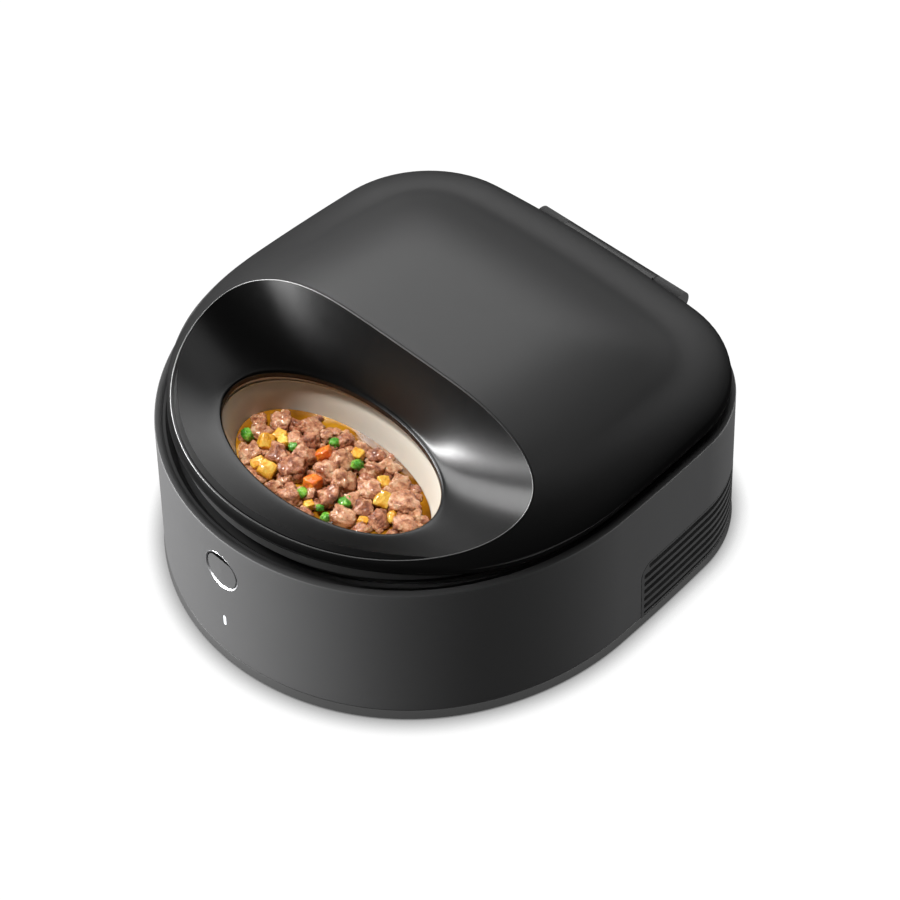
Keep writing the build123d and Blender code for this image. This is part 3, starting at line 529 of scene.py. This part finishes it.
# ---------------------------------------------------------------- vent panels: the same wall with its own edge and slots
SLOT_ROWS = [(47.2 - 6.35 * i, 3.7, 6.8 if i == 0 else 2.6) for i in range(7)] + [(4.6, 1.4, 2.6)]
for side, label in ((1, "right"), (-1, "left")):
    half = OUT_P[:, 0] * side > 100
    idx = [i for i in range(len(OUT_P)) if half[i] and VENT_Y0 - 25 < OUT_P[i, 1] < VENT_Y1 + 20]
    start = [i for i in idx if (i - 1) % len(OUT_P) not in idx][0]
    order, k = [], start
    while k in idx:
        order.append(k)
        k = (k + 1) % len(OUT_P)
    P_, N_ = OUT_P[order], OUT_N[order]
    zs = [0.9, 1.6, 2.6] + list(np.linspace(Z_SEAM, VENT_TOP + 6, 8))
    offs = [b0 + 3.0, b0 + 1.2, b0 + 0.5] + [wall_off(z) for z in zs[3:]]
    cols = []
    for o_, z_ in zip(offs, zs):
        cols.append(np.column_stack([P_ - o_ * N_, np.full(len(P_), z_)]))
    for o_, z_ in zip(offs[::-1], zs[::-1]):
        cols.append(np.column_stack([P_ - (max(o_, b0) * 0 + o_ + 2.6) * N_, np.full(len(P_), z_)]))
    nrow, ncol = len(cols), len(P_)
    verts = np.vstack(cols)
    faces = []
    for a in range(nrow):
        b = (a + 1) % nrow
        for i in range(ncol - 1):
            faces.append((a * ncol + i, a * ncol + i + 1, b * ncol + i + 1, b * ncol + i))
    faces.append(tuple(a * ncol for a in range(nrow))[::-1])
    faces.append(tuple(a * ncol + ncol - 1 for a in range(nrow)))
    o = mesh("vent_" + label, verts, faces, CHARCOAL, None)
    bm = bmesh.new(); bm.from_mesh(o.data); bmesh.ops.recalc_face_normals(bm, faces=bm.faces); bm.to_mesh(o.data); bm.free()
    v, f = prism_x(rounded(VENT_Y0 + 0.35, VENT_Y1 - 0.35, -20.0, VENT_TOP - 0.35, 9.7), side * 70, side * 180)
    boolean(o, [cutter("c", v, f)], "INTERSECT")
    cs = []
    for z, slot_h, inset in SLOT_ROWS:
        v, f = prism_x(rounded(VENT_Y0 + inset, 119.0, z - slot_h / 2, z + slot_h / 2, min(0.9, slot_h / 2 - 0.01), 4), side * 60, side * 190)
        cs.append(cutter("c", v, f))
    boolean(o, cs)
    # painted shade: the up- and down-facing inner faces of the slots get the black material, standing in for the shadow
    # inside the slots
    o.data.materials.append(BLACK)
    unit = 1.0 if max(v.co.z for v in o.data.vertices) > 1.0 else 1000.0
    for f_ in o.data.polygons:
        y_, z_ = f_.center.y * unit, f_.center.z * unit
        if abs(f_.normal.z) > 0.6 and 3.2 < z_ < VENT_TOP - 1.2 and not (z_ > VENT_TOP - 4.0 and (y_ < VENT_Y0 + 5.5 or y_ > 120.0)):
            f_.material_index = len(o.data.materials) - 1
    o.data.polygons.foreach_set("use_smooth", [True] * len(o.data.polygons))
    o.data.set_sharp_from_angle(angle=math.radians(30))
    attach(o, "body")
    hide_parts("vent_panel_" + label)
    # dark mesh screen behind the slots
    inner_rows = []
    for z_ in (2.0, VENT_TOP - 2.0):
        o_ = wall_off(max(z_, Z_SEAM)) + 4.6
        inner_rows.append(np.column_stack([P_ - o_ * N_, np.full(len(P_), z_)]))
    for z_ in (VENT_TOP - 2.0, 2.0):
        o_ = wall_off(max(z_, Z_SEAM)) + 5.2
        inner_rows.append(np.column_stack([P_ - o_ * N_, np.full(len(P_), z_)]))
    keep = [i for i in range(ncol) if VENT_Y0 + 1 < P_[i, 1] < 124]
    cols = [c[keep] for c in inner_rows]
    ncol = len(keep)
    verts = np.vstack(cols)
    faces = [(a * ncol + i, a * ncol + i + 1, ((a + 1) % 4) * ncol + i + 1, ((a + 1) % 4) * ncol + i) for a in range(4) for i in range(ncol - 1)]
    faces += [tuple(a * ncol for a in range(4))[::-1], tuple(a * ncol + ncol - 1 for a in range(4))]
    scr = mesh("vent_screen_" + label, verts, faces, BLACK, "body")


def revolve_y(profile, x, z, steps=96):
    """Rings round an axis along Y through (x, z); profile is (radius, y)."""
    rows = []
    for r, y in profile:
        t = np.linspace(0, 2 * np.pi, steps, endpoint=False)
        rows.append(np.column_stack([x + r * np.cos(t), np.full(steps, y), z + r * np.sin(t)]))
    return rows


def lean(rows, z_ref):
    """Leans points made for a plane at y = 0 onto the slanted, curved front of the wall round z_ref."""
    out = []
    for r in rows:
        q = r.copy()
        q[:, 1] += Y_FRONT + wall_off(q[:, 2]) + q[:, 0] ** 2 / (2 * RADII[0])
        out.append(q)
    return out


RZ = 76.5
prof = fillet_profile([(13.3, 3.0), (13.3, -0.06), (12.98, -0.1), (12.0, 0.62), (12.0, 3.0)], [0, 0.08, 0.15, 0.15, 0], 4)
V, F = rows_to_mesh(lean(revolve_y(prof, 0, RZ), RZ), closed_profile=True)
mesh("button_bezel", V, F, RING, "body", sharp=40, replaces=("button_ring",))
prof = fillet_profile([(11.55, 2.4), (11.55, 0.34), (11.1, 0.3), (0.01, 0.26)], [0, 0.25, 0.2, 0], 4)
rows = lean(revolve_y(prof, 0, RZ), RZ) + lean(revolve_y([(0.01, 2.2)], 0, RZ), RZ)
V, F = rows_to_mesh(rows, closed_profile=True)
mesh("button_cap", V, F, CHARCOAL, "button", sharp=40)
# capsule lamp
cap_rows = []
for grow, y in ((0.0, 3.0), (0.0, 0.1), (-0.12, -0.05), (-0.5, -0.08)):
    r = 1.0 + grow
    t = np.linspace(0, 2 * np.pi, 40, endpoint=False)
    cx_, cz_ = r * np.cos(t), r * np.sin(t) + np.where(np.sin(t) > 0, 2.75, -2.75)
    cap_rows.append(np.column_stack([cx_, np.full(40, y), cz_ + 35.0]))
cap_rows = lean(cap_rows, 35.0)
V, F = rows_to_mesh(cap_rows)
F = list(F) + [tuple(range(3 * 40, 4 * 40)), tuple(range(40))[::-1]]
mesh("lamp_lens", V, F, LAMP, "body", sharp=60, replaces=("status_lens",))

# ---------------------------------------------------------------- dish rim curve, hole and lid
def rim_curve(phi):
    x = 124.51 * np.sin(phi) + 1.49 * np.sin(2 * phi) + 2.29 * np.sin(3 * phi)
    y = -122.71 - 64.51 * np.cos(phi) - 16.02 * np.cos(2 * phi) + 52.3
    return np.stack([x, y], -1)


def by_arc(curve, count):
    d = np.linalg.norm(np.roll(curve, -1, 0) - curve, axis=1)
    s = np.concatenate([[0], np.cumsum(d)])
    c2 = np.vstack([curve, curve[:1]])
    w = np.linspace(0, s[-1], count, endpoint=False)
    return np.stack([np.interp(w, s, c2[:, k]) for k in range(curve.shape[1])], -1)


NC = 400
RIM = by_arc(rim_curve(np.linspace(0, 2 * np.pi, 3000, endpoint=False)), NC)
tan = np.roll(RIM, -1, 0) - np.roll(RIM, 1, 0)
RIM_N = np.stack([tan[:, 1], -tan[:, 0]], -1)
RIM_N /= np.linalg.norm(RIM_N, axis=1)[:, None]
if (RIM_N[:, 1] * (RIM[:, 1] - RIM[:, 1].mean())).sum() < 0:
    RIM_N = -RIM_N
RIM_Z = dome(RIM)

CENTRE = np.array([0.0, -70.0])


def ray_to_outline(dirs):
    """For directions from CENTRE, the point and normal of the outline that they meet."""
    rel = FINE_P - CENTRE
    ang = np.arctan2(rel[:, 0], -rel[:, 1])
    order = np.argsort(ang)
    a2 = ang[order]
    a = np.arctan2(dirs[:, 0], -dirs[:, 1])
    _, fn = outline(900)
    px = np.interp(a, a2, FINE_P[order][:, 0], period=2 * np.pi)
    py = np.interp(a, a2, FINE_P[order][:, 1], period=2 * np.pi)
    nx = np.interp(a, a2, fn[order][:, 0], period=2 * np.pi)
    ny = np.interp(a, a2, fn[order][:, 1], period=2 * np.pi)
    n = np.stack([nx, ny], -1)
    return np.stack([px, py], -1), n / np.linalg.norm(n, axis=1)[:, None]


LP, LN = ray_to_outline(RIM - CENTRE)
front = 1 - smoothstep(LP[:, 1], -150.0, -55.0)
w_out = 3.3 + 5.9 * front          # widest line of the lid, from the housing's outline
z_out = 113.0 + 1.8 * front
BEND = 1.7
drop = np.maximum(dome(LP - w_out[:, None] * LN, w_out) - z_out, 0.0)
lid_rows = []
z_low = 105.0
for dw, dz in ((6.5, 6.3), (3.6, 6.2), (1.9, 5.7), (0.9, 4.6), (0.35, 3.2), (0.08, 1.7), (0.0, 0.7)):
    lid_rows.append(ring(w_out + dw, z_out - dz * (1 - 0.27 * front), LP, LN))
for u in (0.0, 0.012, 0.045, 0.1, 0.18, 0.3, 0.45, 0.65, 0.85, 1.0):
    o_ = w_out + u * BEND
    fall = drop * (1 - math.sqrt(max(0.0, 1 - (1 - u) ** 2)))
    lid_rows.append(ring(o_, np.maximum(dome(LP - o_[:, None] * LN, o_), z_out) - fall, LP, LN))
edge = lid_rows[-1][:, :2]
GAP = 0.25
inner_edge = RIM + RIM_N * GAP
for s in np.linspace(0, 1, 46)[1:]:
    q = edge + (inner_edge - edge) * s
    lid_rows.append(np.column_stack([q, dome(q)]))
last = lid_rows[-1]
lid_rows.append(np.column_stack([inner_edge - RIM_N * 0.12, last[:, 2] - 0.35]))
lid_rows.append(np.column_stack([inner_edge - RIM_N * 0.12, last[:, 2] - 2.6]))
# underside of the shell
under_edge = ring(w_out + 6.5, 0, LP, LN)[:, :2]
for s in np.linspace(1, 0, 14):
    q = under_edge + (RIM + RIM_N * 2.4 - under_edge) * s
    z = dome(q) - 3.0
    lid_rows.append(np.column_stack([q, np.maximum(z, z_out - 4.2)]))
V, F = rows_to_mesh(lid_rows, closed_profile=True, flip=False)
lid = mesh("lid_dome", V, F, CHARCOAL_LID, "lid", sharp=40, replaces=("lid_shell",))

# trim ring: a narrow rounded edge between the lid and the dish
trim_prof = [(0.12, -2.6), (0.12, -0.3), (0.0, -0.1), (-0.35, 0.05), (-0.75, -0.02), (-0.95, -0.2), (-1.0, -0.5), (-1.0, -2.6)]
rows = [np.column_stack([RIM + RIM_N * o, RIM_Z + z]) for o, z in fillet_profile(trim_prof, 0.1, 2)]
V, F = rows_to_mesh(rows, closed_profile=True, flip=False)
trim = mesh("dish_edge", V, F, TRIM, "lid", sharp=50, replaces=("dish_trim",))

HOLE_A, HOLE_B, HOLE_Y, HOLE_Z = 76.4, 42.7, -79.5, 109.2
DISH_POWER = 1.15


def dish_rows():
    top = RIM - RIM_N * 0.9
    rel = top - np.array([0.0, HOLE_Y])
    ang = np.arctan2(rel[:, 1] / HOLE_B, rel[:, 0] / HOLE_A)
    hole = np.stack([HOLE_A * np.cos(ang), HOLE_Y + HOLE_B * np.sin(ang)], -1)
    tilt = -0.017 * (hole[:, 1] - HOLE_Y)
    hz = HOLE_Z + tilt
    nh = np.stack([np.cos(ang) / HOLE_A, np.sin(ang) / HOLE_B], -1)
    nh /= np.linalg.norm(nh, axis=1)[:, None]
    start = RIM_Z - 0.2
    out = []
    edge_at = hole + nh * 2.0
    for s in np.linspace(0, 1, 40):
        q = top + (edge_at - top) * s
        out.append(np.column_stack([q, hz + (start - hz) * (1 - s) ** DISH_POWER]))
    for k in range(1, 7):
        a = math.radians(90 * k / 6)
        q = hole + nh * (2.0 - 2.0 * math.sin(a))
        out.append(np.column_stack([q, hz - 2.0 * (1 - math.cos(a))]))
    out.append(np.column_stack([hole, hz - 4.6]))
    out.append(np.column_stack([hole + nh * 1.6, hz - 4.6]))
    out.append(np.column_stack([hole + nh * 1.9, hz - 3.2]))
    for s in np.linspace(1, 0, 10):
        q = top + (hole + nh * 4.0 - top) * s
        out.append(np.column_stack([q, hz - 2.2 + (start - 1.2 - hz) * (1 - s) ** DISH_POWER]))
    return out, hole, nh, hz


drows, HOLE, HOLE_NV, HOLE_ZV = dish_rows()
V, F = rows_to_mesh(drows, closed_profile=True, flip=False)
dish = mesh("dish_surface", V, F, GLOSS, "lid", sharp=50, replaces=("lid_dish",))

# ---------------------------------------------------------------- wet food
def meat_mat(name, a, b_, c, rough=0.30, torn=1.0):
    m, nt, b = new_mat(name)
    co = coords(nt)
    n1 = node(nt, "ShaderNodeTexNoise", Scale=170.0, Detail=7.0, Roughness=0.7)
    n2 = node(nt, "ShaderNodeTexNoise", Scale=640.0, Detail=5.0, Roughness=0.7)
    for n in (n1, n2):
        nt.links.new(co, n.inputs["Vector"])
    col = ramp(nt, n1.outputs["Fac"], [(0.36, a), (0.5, b_), (0.62, c)])
    nt.links.new(col, b.inputs["Base Color"])
    rr = nt.nodes.new("ShaderNodeMapRange")
    rr.inputs["To Min"].default_value = rough - 0.14; rr.inputs["To Max"].default_value = rough + 0.3
    nt.links.new(n2.outputs["Fac"], rr.inputs["Value"])
    nt.links.new(rr.outputs["Result"], b.inputs["Roughness"])
    bp = nt.nodes.new("ShaderNodeBump"); bp.inputs["Strength"].default_value = 0.9 * torn; bp.inputs["Distance"].default_value = 0.0016
    nt.links.new(n2.outputs["Fac"], bp.inputs["Height"]); nt.links.new(bp.outputs["Normal"], b.inputs["Normal"])
    b.inputs["Subsurface Weight"].default_value = 0.2
    b.inputs["Subsurface Radius"].default_value = (1.0, 0.35, 0.2)
    b.inputs["Subsurface Scale"].default_value = 0.002
    b.inputs["Coat Weight"].default_value = 0.8
    b.inputs["Coat Roughness"].default_value = 0.12
    return m


MEAT = [meat_mat("meat_a", rgb(128, 66, 38), rgb(202, 136, 98), rgb(238, 192, 156)),
        meat_mat("meat_b", rgb(146, 80, 46), rgb(212, 150, 110), rgb(242, 202, 166)),
        meat_mat("meat_c", rgb(104, 50, 28), rgb(176, 108, 74), rgb(220, 166, 128))]
CARROT = meat_mat("carrot", rgb(206, 84, 8), rgb(232, 116, 20), rgb(244, 154, 54), 0.28, 0.35)
GREEN = meat_mat("greens", rgb(44, 116, 12), rgb(78, 164, 28), rgb(148, 208, 66), 0.3, 0.9)
YELLOW = meat_mat("potato", rgb(198, 126, 8), rgb(230, 168, 28), rgb(244, 206, 88), 0.3, 0.6)
GRAVY, gnt, gb = new_mat("gravy")
gco = coords(gnt)
gn = node(gnt, "ShaderNodeTexNoise", Scale=45.0, Detail=4.0)
gnt.links.new(gco, gn.inputs["Vector"])
gnt.links.new(ramp(gnt, gn.outputs["Fac"], [(0.35, rgb(92, 54, 8)), (0.55, rgb(146, 94, 14)), (0.7, rgb(194, 142, 34))]), gb.inputs["Base Color"])
gb.inputs["Roughness"].default_value = 0.12
gb.inputs["Coat Weight"].default_value = 0.6
gbp = gnt.nodes.new("ShaderNodeBump"); gbp.inputs["Strength"].default_value = 0.25; gbp.inputs["Distance"].default_value = 0.001
gnt.links.new(gn.outputs["Fac"], gbp.inputs["Height"]); gnt.links.new(gbp.outputs["Normal"], gb.inputs["Normal"])

AXIS_Y = -8.0
POCKET_Y = AXIS_Y - 71.5
FOOD_Z = 83.5


def pocket_ab(z):
    """Semi-axes of the compartment at height z."""
    dz = 99.2 - z
    f = np.interp(dz, [0, 5, 14, 22, 29.5], [0, 3, 6.5, 10.5, 18])
    return 77.5 - f, 45.0 - f


a0, b0 = pocket_ab(FOOD_Z)
nr, na = 26, 120
verts, faces = [(0, POCKET_Y, FOOD_Z)], []
for i in range(1, nr + 1):
    r = i / nr
    for j in range(na):
        t = 2 * math.pi * j / na
        x, y = a0 * r * math.cos(t), POCKET_Y + b0 * r * math.sin(t)
        h = 1.3 * noise.noise(Vector((x * 0.06, y * 0.06, 0.3))) + 0.5 * noise.noise(Vector((x * 0.2, y * 0.2, 4.0)))
        h *= min(1.0, (1 - r) * 6 + 0.15)
        verts.append((x * 0.995, POCKET_Y + (y - POCKET_Y) * 0.995, FOOD_Z + h))
for j in range(na):
    faces.append((0, 1 + j, 1 + (j + 1) % na))
for i in range(nr - 1):
    for j in range(na):
        a, b = 1 + i * na + j, 1 + i * na + (j + 1) % na
        faces.append((a, a + na, b + na, b))
# wall and flat underside of the gravy body
base = len(verts)
a1, b1 = pocket_ab(72.0)
for j in range(na):
    t = 2 * math.pi * j / na
    verts.append((a1 * 0.99 * math.cos(t), POCKET_Y + b1 * 0.99 * math.sin(t), 72.0))
for j in range(na):
    a, b = 1 + (nr - 1) * na + j, 1 + (nr - 1) * na + (j + 1) % na
    faces.append((a, base + j, base + (j + 1) % na, b))
faces.append(tuple(base + j for j in range(na))[::-1])
gravy = mesh("food_gravy", verts, faces, GRAVY, "tray", sharp=60, replaces=("wet_food",))


def chunk(bm, centre, size, seed, block=0.5, rough=0.2, mi=0, level=4):
    """A rough cut chunk: an icosphere drawn towards a block and torn by noise."""
    ret = bmesh.ops.create_icosphere(bm, subdivisions=level, radius=1.0)
    sx, sy, sz = size
    ang = (seed * 2.399) % (2 * math.pi)
    ca, sa = math.cos(ang), math.sin(ang)
    ta = ((seed * 1.7) % 1.0) * 0.9 - 0.45
    tb = ((seed * 2.3) % 1.0) * 0.9 - 0.45
    turn = Vector((ta, tb, 0.0))
    for v in ret["verts"]:
        p = v.co.copy()
        m = max(abs(p.x), abs(p.y), abs(p.z))
        q = p * (1 - block) + (p / m) * block * 0.84
        o = Vector((seed * 3.1, seed * 1.3, seed * 0.7))
        n = noise.noise(p * 1.1 + o) * rough * 1.5 + noise.noise(p * 2.6 + o) * rough * 0.9
        n += abs(noise.noise(p * 5.0 + o)) * rough * 0.8 + noise.noise(p * 10.0 + o) * rough * 0.35
        q = q * (1 + n)
        x, y, z = q.x * sx, q.y * sy, q.z * sz
        y, z = y * math.cos(turn.x) - z * math.sin(turn.x), y * math.sin(turn.x) + z * math.cos(turn.x)
        x, z = x * math.cos(turn.y) + z * math.sin(turn.y), -x * math.sin(turn.y) + z * math.cos(turn.y)
        x, y = x * ca - y * sa, x * sa + y * ca
        v.co = Vector(((centre[0] + x) * MM, (centre[1] + S + y) * MM, (centre[2] + z) * MM))
    fs = set()
    for v in ret["verts"]:
        fs.update(v.link_faces)
    for f in fs:
        f.material_index = mi
        f.smooth = True


# pieces of the meal in plan: x, y, radius
MEAT_AT = [(-51.8, -71.1, 6.2), (-53.6, -84.1, 5.2), (-42.9, -65.4, 4.8), (-35.5, -61.0, 6.2), (-35.9, -74.4, 4.6), (-27.7, -70.9, 6.2),
           (-24.6, -60.7, 4.0), (-22.1, -54.7, 3.2), (-14.1, -54.9, 5.4), (-3.6, -52.5, 4.6), (-47.0, -98.3, 5.8), (-32.0, -90.4, 7.0),
           (-21.2, -80.8, 6.2), (-3.1, -68.8, 6.6), (7.5, -51.5, 5.4), (13.9, -59.5, 5.2), (18.9, -51.9, 5.4), (-18.2, -92.0, 7.4),
           (-3.7, -79.9, 7.0), (9.6, -78.3, 7.0), (-17.0, -99.6, 4.4), (23.9, -72.6, 7.0), (32.0, -56.9, 5.4), (11.1, -91.7, 6.2),
           (-6.6, -105.3, 6.6), (22.6, -84.2, 5.0), (31.1, -84.6, 5.4), (44.0, -66.1, 7.9), (26.9, -96.0, 6.6), (42.3, -83.9, 5.6),
           (54.4, -76.4, 5.8), (-18.0, -107.5, 4.4), (1.5, -97.5, 4.0), (-44.5, -105.0, 3.6), (53.0, -66.8, 3.9), (16.3, -67.8, 3.8),
           (-60.5, -80.0, 4.2), (30.7, -66.1, 3.4), (9.5, -110.0, 5.0), (40.5, -96.5, 4.6), (-31.0, -110.5, 3.6), (-47.5, -75.5, 3.6)]
CARROT_AT = [(-14.3, -71.7, 5.2), (-2.7, -91.1, 4.8)]
GREEN_AT = [(-58.2, -91.1, 3.6), (-31.4, -79.9, 2.3), (-16.5, -61.3, 3.0), (5.7, -64.6, 3.5), (-1.4, -100.2, 3.0), (21.8, -89.1, 3.7),
            (20.5, -103.5, 2.9), (13.4, -101.0, 2.2)]
YELLOW_AT = [(-45.3, -87.8, 5.0), (-43.5, -78.6, 4.3), (-38.5, -81.2, 3.6), (-29.2, -101.6, 5.4), (-37.7, -101.1, 4.0), (-0.4, -58.8, 4.0),
             (24.8, -62.4, 3.8), (34.4, -72.9, 5.2), (7.0, -103.4, 3.0), (36.8, -90.4, 3.2), (46.3, -77.5, 3.4)]


def heap(x, y):
    """Height of the heap over the gravy."""
    e = min(1.0, math.hypot(x / a0, (y - POCKET_Y) / b0))
    return FOOD_Z + 3.2 * (1 - e * e)


def bowl_limit(x, y, r):
    """Draws a piece inwards until it clears the wall of the bowl."""
    aa, bb = pocket_ab(FOOD_Z + 1.0)
    aa, bb = aa - r * 1.12 - 0.6, bb - r * 1.12 - 0.6
    e = math.hypot(x / aa, (y - POCKET_Y) / bb)
    if e > 1:
        x, y = x / e, POCKET_Y + (y - POCKET_Y) / e
    return x, y


def collect(name, mats, items, block, rough, lift=0.35, level=4):
    bm = bmesh.new()
    for i, (x, y, r, seed, mi) in enumerate(items):
        x, y = bowl_limit(x, y, r)
        k = 0.82 + 0.36 * ((seed * 0.618) % 1.0)
        z = heap(x, y) + r * lift + 0.9 * (((seed * 0.37) % 1.0) - 0.5)
        chunk(bm, (x, y, z - r * 0.35), (r * (0.92 + 0.16 * k), r * 1.02 / k ** 0.4, r * (0.74 + 0.14 * ((seed * 0.83) % 1.0))), seed, block, rough, mi, level)
    me = bpy.data.meshes.new(name)
    bm.to_mesh(me); bm.free()
    o = bpy.data.objects.new(name, me)
    bpy.context.scene.collection.objects.link(o)
    for m in mats:
        me.materials.append(m)
    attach(o, "tray")
    return o


items = [(x, y, r * 0.97, i + 1.0, (i * 7) % 3) for i, (x, y, r) in enumerate(MEAT_AT)]
collect("food_meat", MEAT, items, 0.42, 0.24, lift=0.55)
crumbs = []
for i in range(125):
    t, r_ = random.random() * 2 * math.pi, math.sqrt(random.random()) * 0.96
    sz = random.uniform(1.5, 3.2)
    crumbs.append((a0 * r_ * math.cos(t), POCKET_Y + b0 * r_ * math.sin(t), sz, 60.0 + i, i % 3))
collect("food_crumbs", MEAT, crumbs, 0.2, 0.3, lift=0.2, level=3)
collect("food_carrot", [CARROT], [(x, y, r, 200.0 + i, 0) for i, (x, y, r) in enumerate(CARROT_AT)], 0.6, 0.07, lift=0.8)
collect("food_greens", [GREEN], [(x, y, r, 220.0 + i, 0) for i, (x, y, r) in enumerate(GREEN_AT)], 0.25, 0.2, lift=1.15)
collect("food_potato", [YELLOW], [(x, y, r, 240.0 + i, 0) for i, (x, y, r) in enumerate(YELLOW_AT)], 0.7, 0.1, lift=0.75)


# ---------------------------------------------------------------- camera, floor and light
def unit(az, el):
    a, e = math.radians(az), math.radians(el)
    return Vector((math.sin(a) * math.cos(e), -math.cos(a) * math.cos(e), math.sin(e)))


AIM = Vector((0, (52.3 + S) * MM, 0))
cam_d = bpy.data.cameras.new("camera")
cam_d.sensor_width = 36.0
cam_d.lens = 85.25
cam_d.shift_x = -0.0480
cam_d.shift_y = 0.0060
cam_d.clip_start = 0.05
cam_d.clip_end = 40
cam = bpy.data.objects.new("camera", cam_d)
bpy.context.scene.collection.objects.link(cam)
back = unit(43.74, 47.52)
cam.location = AIM + back * 1.33021
cam.rotation_euler = back.to_track_quat("Z", "Y").to_euler()
bpy.context.scene.camera = cam


def floor_mat():
    """White studio floor: glows evenly, with a narrow contact shadow painted from ambient occlusion."""
    m, nt, b = new_mat("studio_floor")
    # painted contact shadow: ambient occlusion within 13.5 mm dims the floor's glow near the part
    ao = nt.nodes.new("ShaderNodeAmbientOcclusion")
    ao.samples = 12
    ao.inputs["Distance"].default_value = 0.0135
    pw = nt.nodes.new("ShaderNodeMath"); pw.operation = "POWER"
    nt.links.new(ao.outputs["AO"], pw.inputs[0]); pw.inputs[1].default_value = 1.5
    k = nt.nodes.new("ShaderNodeMath"); k.operation = "MULTIPLY"
    nt.links.new(pw.outputs[0], k.inputs[0]); k.inputs[1].default_value = 1.03
    b.inputs["Base Color"].default_value = (0.02, 0.02, 0.02, 1)
    b.inputs["Roughness"].default_value = 0.8
    b.inputs["Specular IOR Level"].default_value = 0.0
    b.inputs["Emission Color"].default_value = (1, 1, 1, 1)
    nt.links.new(k.outputs[0], b.inputs["Emission Strength"])
    return m


me = bpy.data.meshes.new("studio_floor")
me.from_pydata([(-12, -12, 0), (12, -12, 0), (12, 12, 0), (-12, 12, 0)], [], [(0, 1, 2, 3)])
floor = bpy.data.objects.new("studio_floor", me)
bpy.context.scene.collection.objects.link(floor)
me.materials.append(floor_mat())
floor.visible_glossy = False
floor.visible_diffuse = False


def area(name, loc, size, power, aim=(0, 0, 0.08), colour=(1, 1, 1), size_y=None, spread=180):
    d = bpy.data.lights.new(name, "AREA")
    d.energy = power
    d.shape = "RECTANGLE"
    d.size = size
    d.size_y = size_y or size
    d.color = colour
    d.spread = math.radians(spread)
    o = bpy.data.objects.new(name, d)
    bpy.context.scene.collection.objects.link(o)
    o.location = loc
    o.rotation_euler = (Vector(loc) - Vector(aim)).to_track_quat("Z", "Y").to_euler()
    return o


# camera frame directions: right of the picture, and away from the camera along the floor
RIGHT = Vector((0.7225, 0.6914, 0))
AWAY = Vector((-0.6914, 0.7225, 0))


def spot(r, a, z):
    v = RIGHT * r + AWAY * a
    return (v.x, v.y, z)


def softbox(name, turn, rise, size, size_y, power):
    """A soft box 1.9 m from the part; turn is the angle from the camera's side towards the picture's right."""
    p, e = math.radians(turn), math.radians(rise)
    d = RIGHT * (math.sin(p) * math.cos(e)) - AWAY * (math.cos(p) * math.cos(e)) + Vector((0, 0, math.sin(e)))
    return area(name, tuple(d * 1.9), size, power, size_y=size_y)


def only_on(light, names):
    """The light reaches these pieces only, as a flag or a narrow grid does in a studio."""
    c = bpy.data.collections.new(light.name + "_on")
    for o in bpy.data.objects:
        if any(o.name == n or (n.endswith("*") and o.name.startswith(n[:-1])) for n in names):
            c.objects.link(o)
    light.light_linking.receiver_collection = c


BOXES = [("back_left", -120, 38, 0.85, 0.7, 17.5), ("back", 180, 40, 0.95, 0.7, 7.6), ("rear_left", -115, 23, 0.6, 0.5, 3.6),
         ("rear_right", 152, 30, 0.85, 0.7, 1.6), ("high_right", 135, 62, 0.8, 0.7, 1.9), ("high_back", -150, 38, 0.85, 0.7, 1.4)]
for item in BOXES:
    softbox(*item)
WALLS = ["housing_wall", "button_bezel", "button_cap", "hinge_end_knuckles", "outer_housing"]
for item in (("low_left", -100, 7.2, 0.95, 0.46, 56.0), ("left", -82, 12, 0.95, 0.6, 66.0), ("mid_left", -60, 7.2, 0.8, 0.46, 25.0),
             ("low_right", 110, 7.2, 0.95, 0.46, 38.0), ("right", 80, 7.2, 0.95, 0.46, 12.0)):
    only_on(softbox(*item), WALLS)
only_on(softbox("vent_light", 104, 14, 0.95, 0.46, 46.0), ["vent_right", "vent_left"])
only_on(softbox("band_right", 68, 7.2, 0.95, 0.46, 30.0), ["base_band", "seam_lip"])
only_on(softbox("lid_back", -150, 40, 0.85, 0.7, 5.6), ["lid_*"])
only_on(softbox("lid_left", -90, 15, 0.95, 0.75, 2.0), ["lid_*"])
only_on(softbox("lid_front", -64, 38, 0.95, 0.75, 1.6), ["lid_*"])
only_on(softbox("edge_left", -124, 30, 0.95, 0.75, 70.0), ["dish_edge"])
only_on(softbox("dish_rear", 156, 26, 1.1, 0.9, 4.2), ["dish_surface"])
only_on(softbox("dish_low", -100, 7.2, 0.95, 0.46, 80.0), ["dish_*"])
only_on(softbox("dish_left", -90, 15, 0.95, 0.75, 9.0), ["dish_*"])
only_on(softbox("band_left", -80, 7.2, 1.1, 0.4, 110.0), ["base_band", "seam_lip"])
only_on(softbox("band_front", 10, 5.5, 1.6, 0.3, 15.0), ["base_band", "seam_lip"])
only_on(area("meal", tuple(RIGHT * -0.34 + AWAY * 0.02 + Vector((0, 0, 1.5))), 0.16, 23.0, colour=(1.0, 0.97, 0.92)), ["food_*"])
only_on(area("bowl_light", tuple(RIGHT * -0.62 + AWAY * 0.3 + Vector((0, 0, 1.35))), 0.2, 17.0, colour=(1.0, 0.98, 0.95)),
        ["bowl_front", "bowl_right", "bowl_left"])

world = bpy.data.worlds.new("studio")
world.use_nodes = True
world.node_tree.nodes["Background"].inputs["Color"].default_value = (1, 1, 1, 1)
world.node_tree.nodes["Background"].inputs["Strength"].default_value = 0.02
bpy.context.scene.world = world
bpy.context.scene.view_settings.view_transform = "Standard"
bpy.context.scene.view_settings.exposure = 0.0
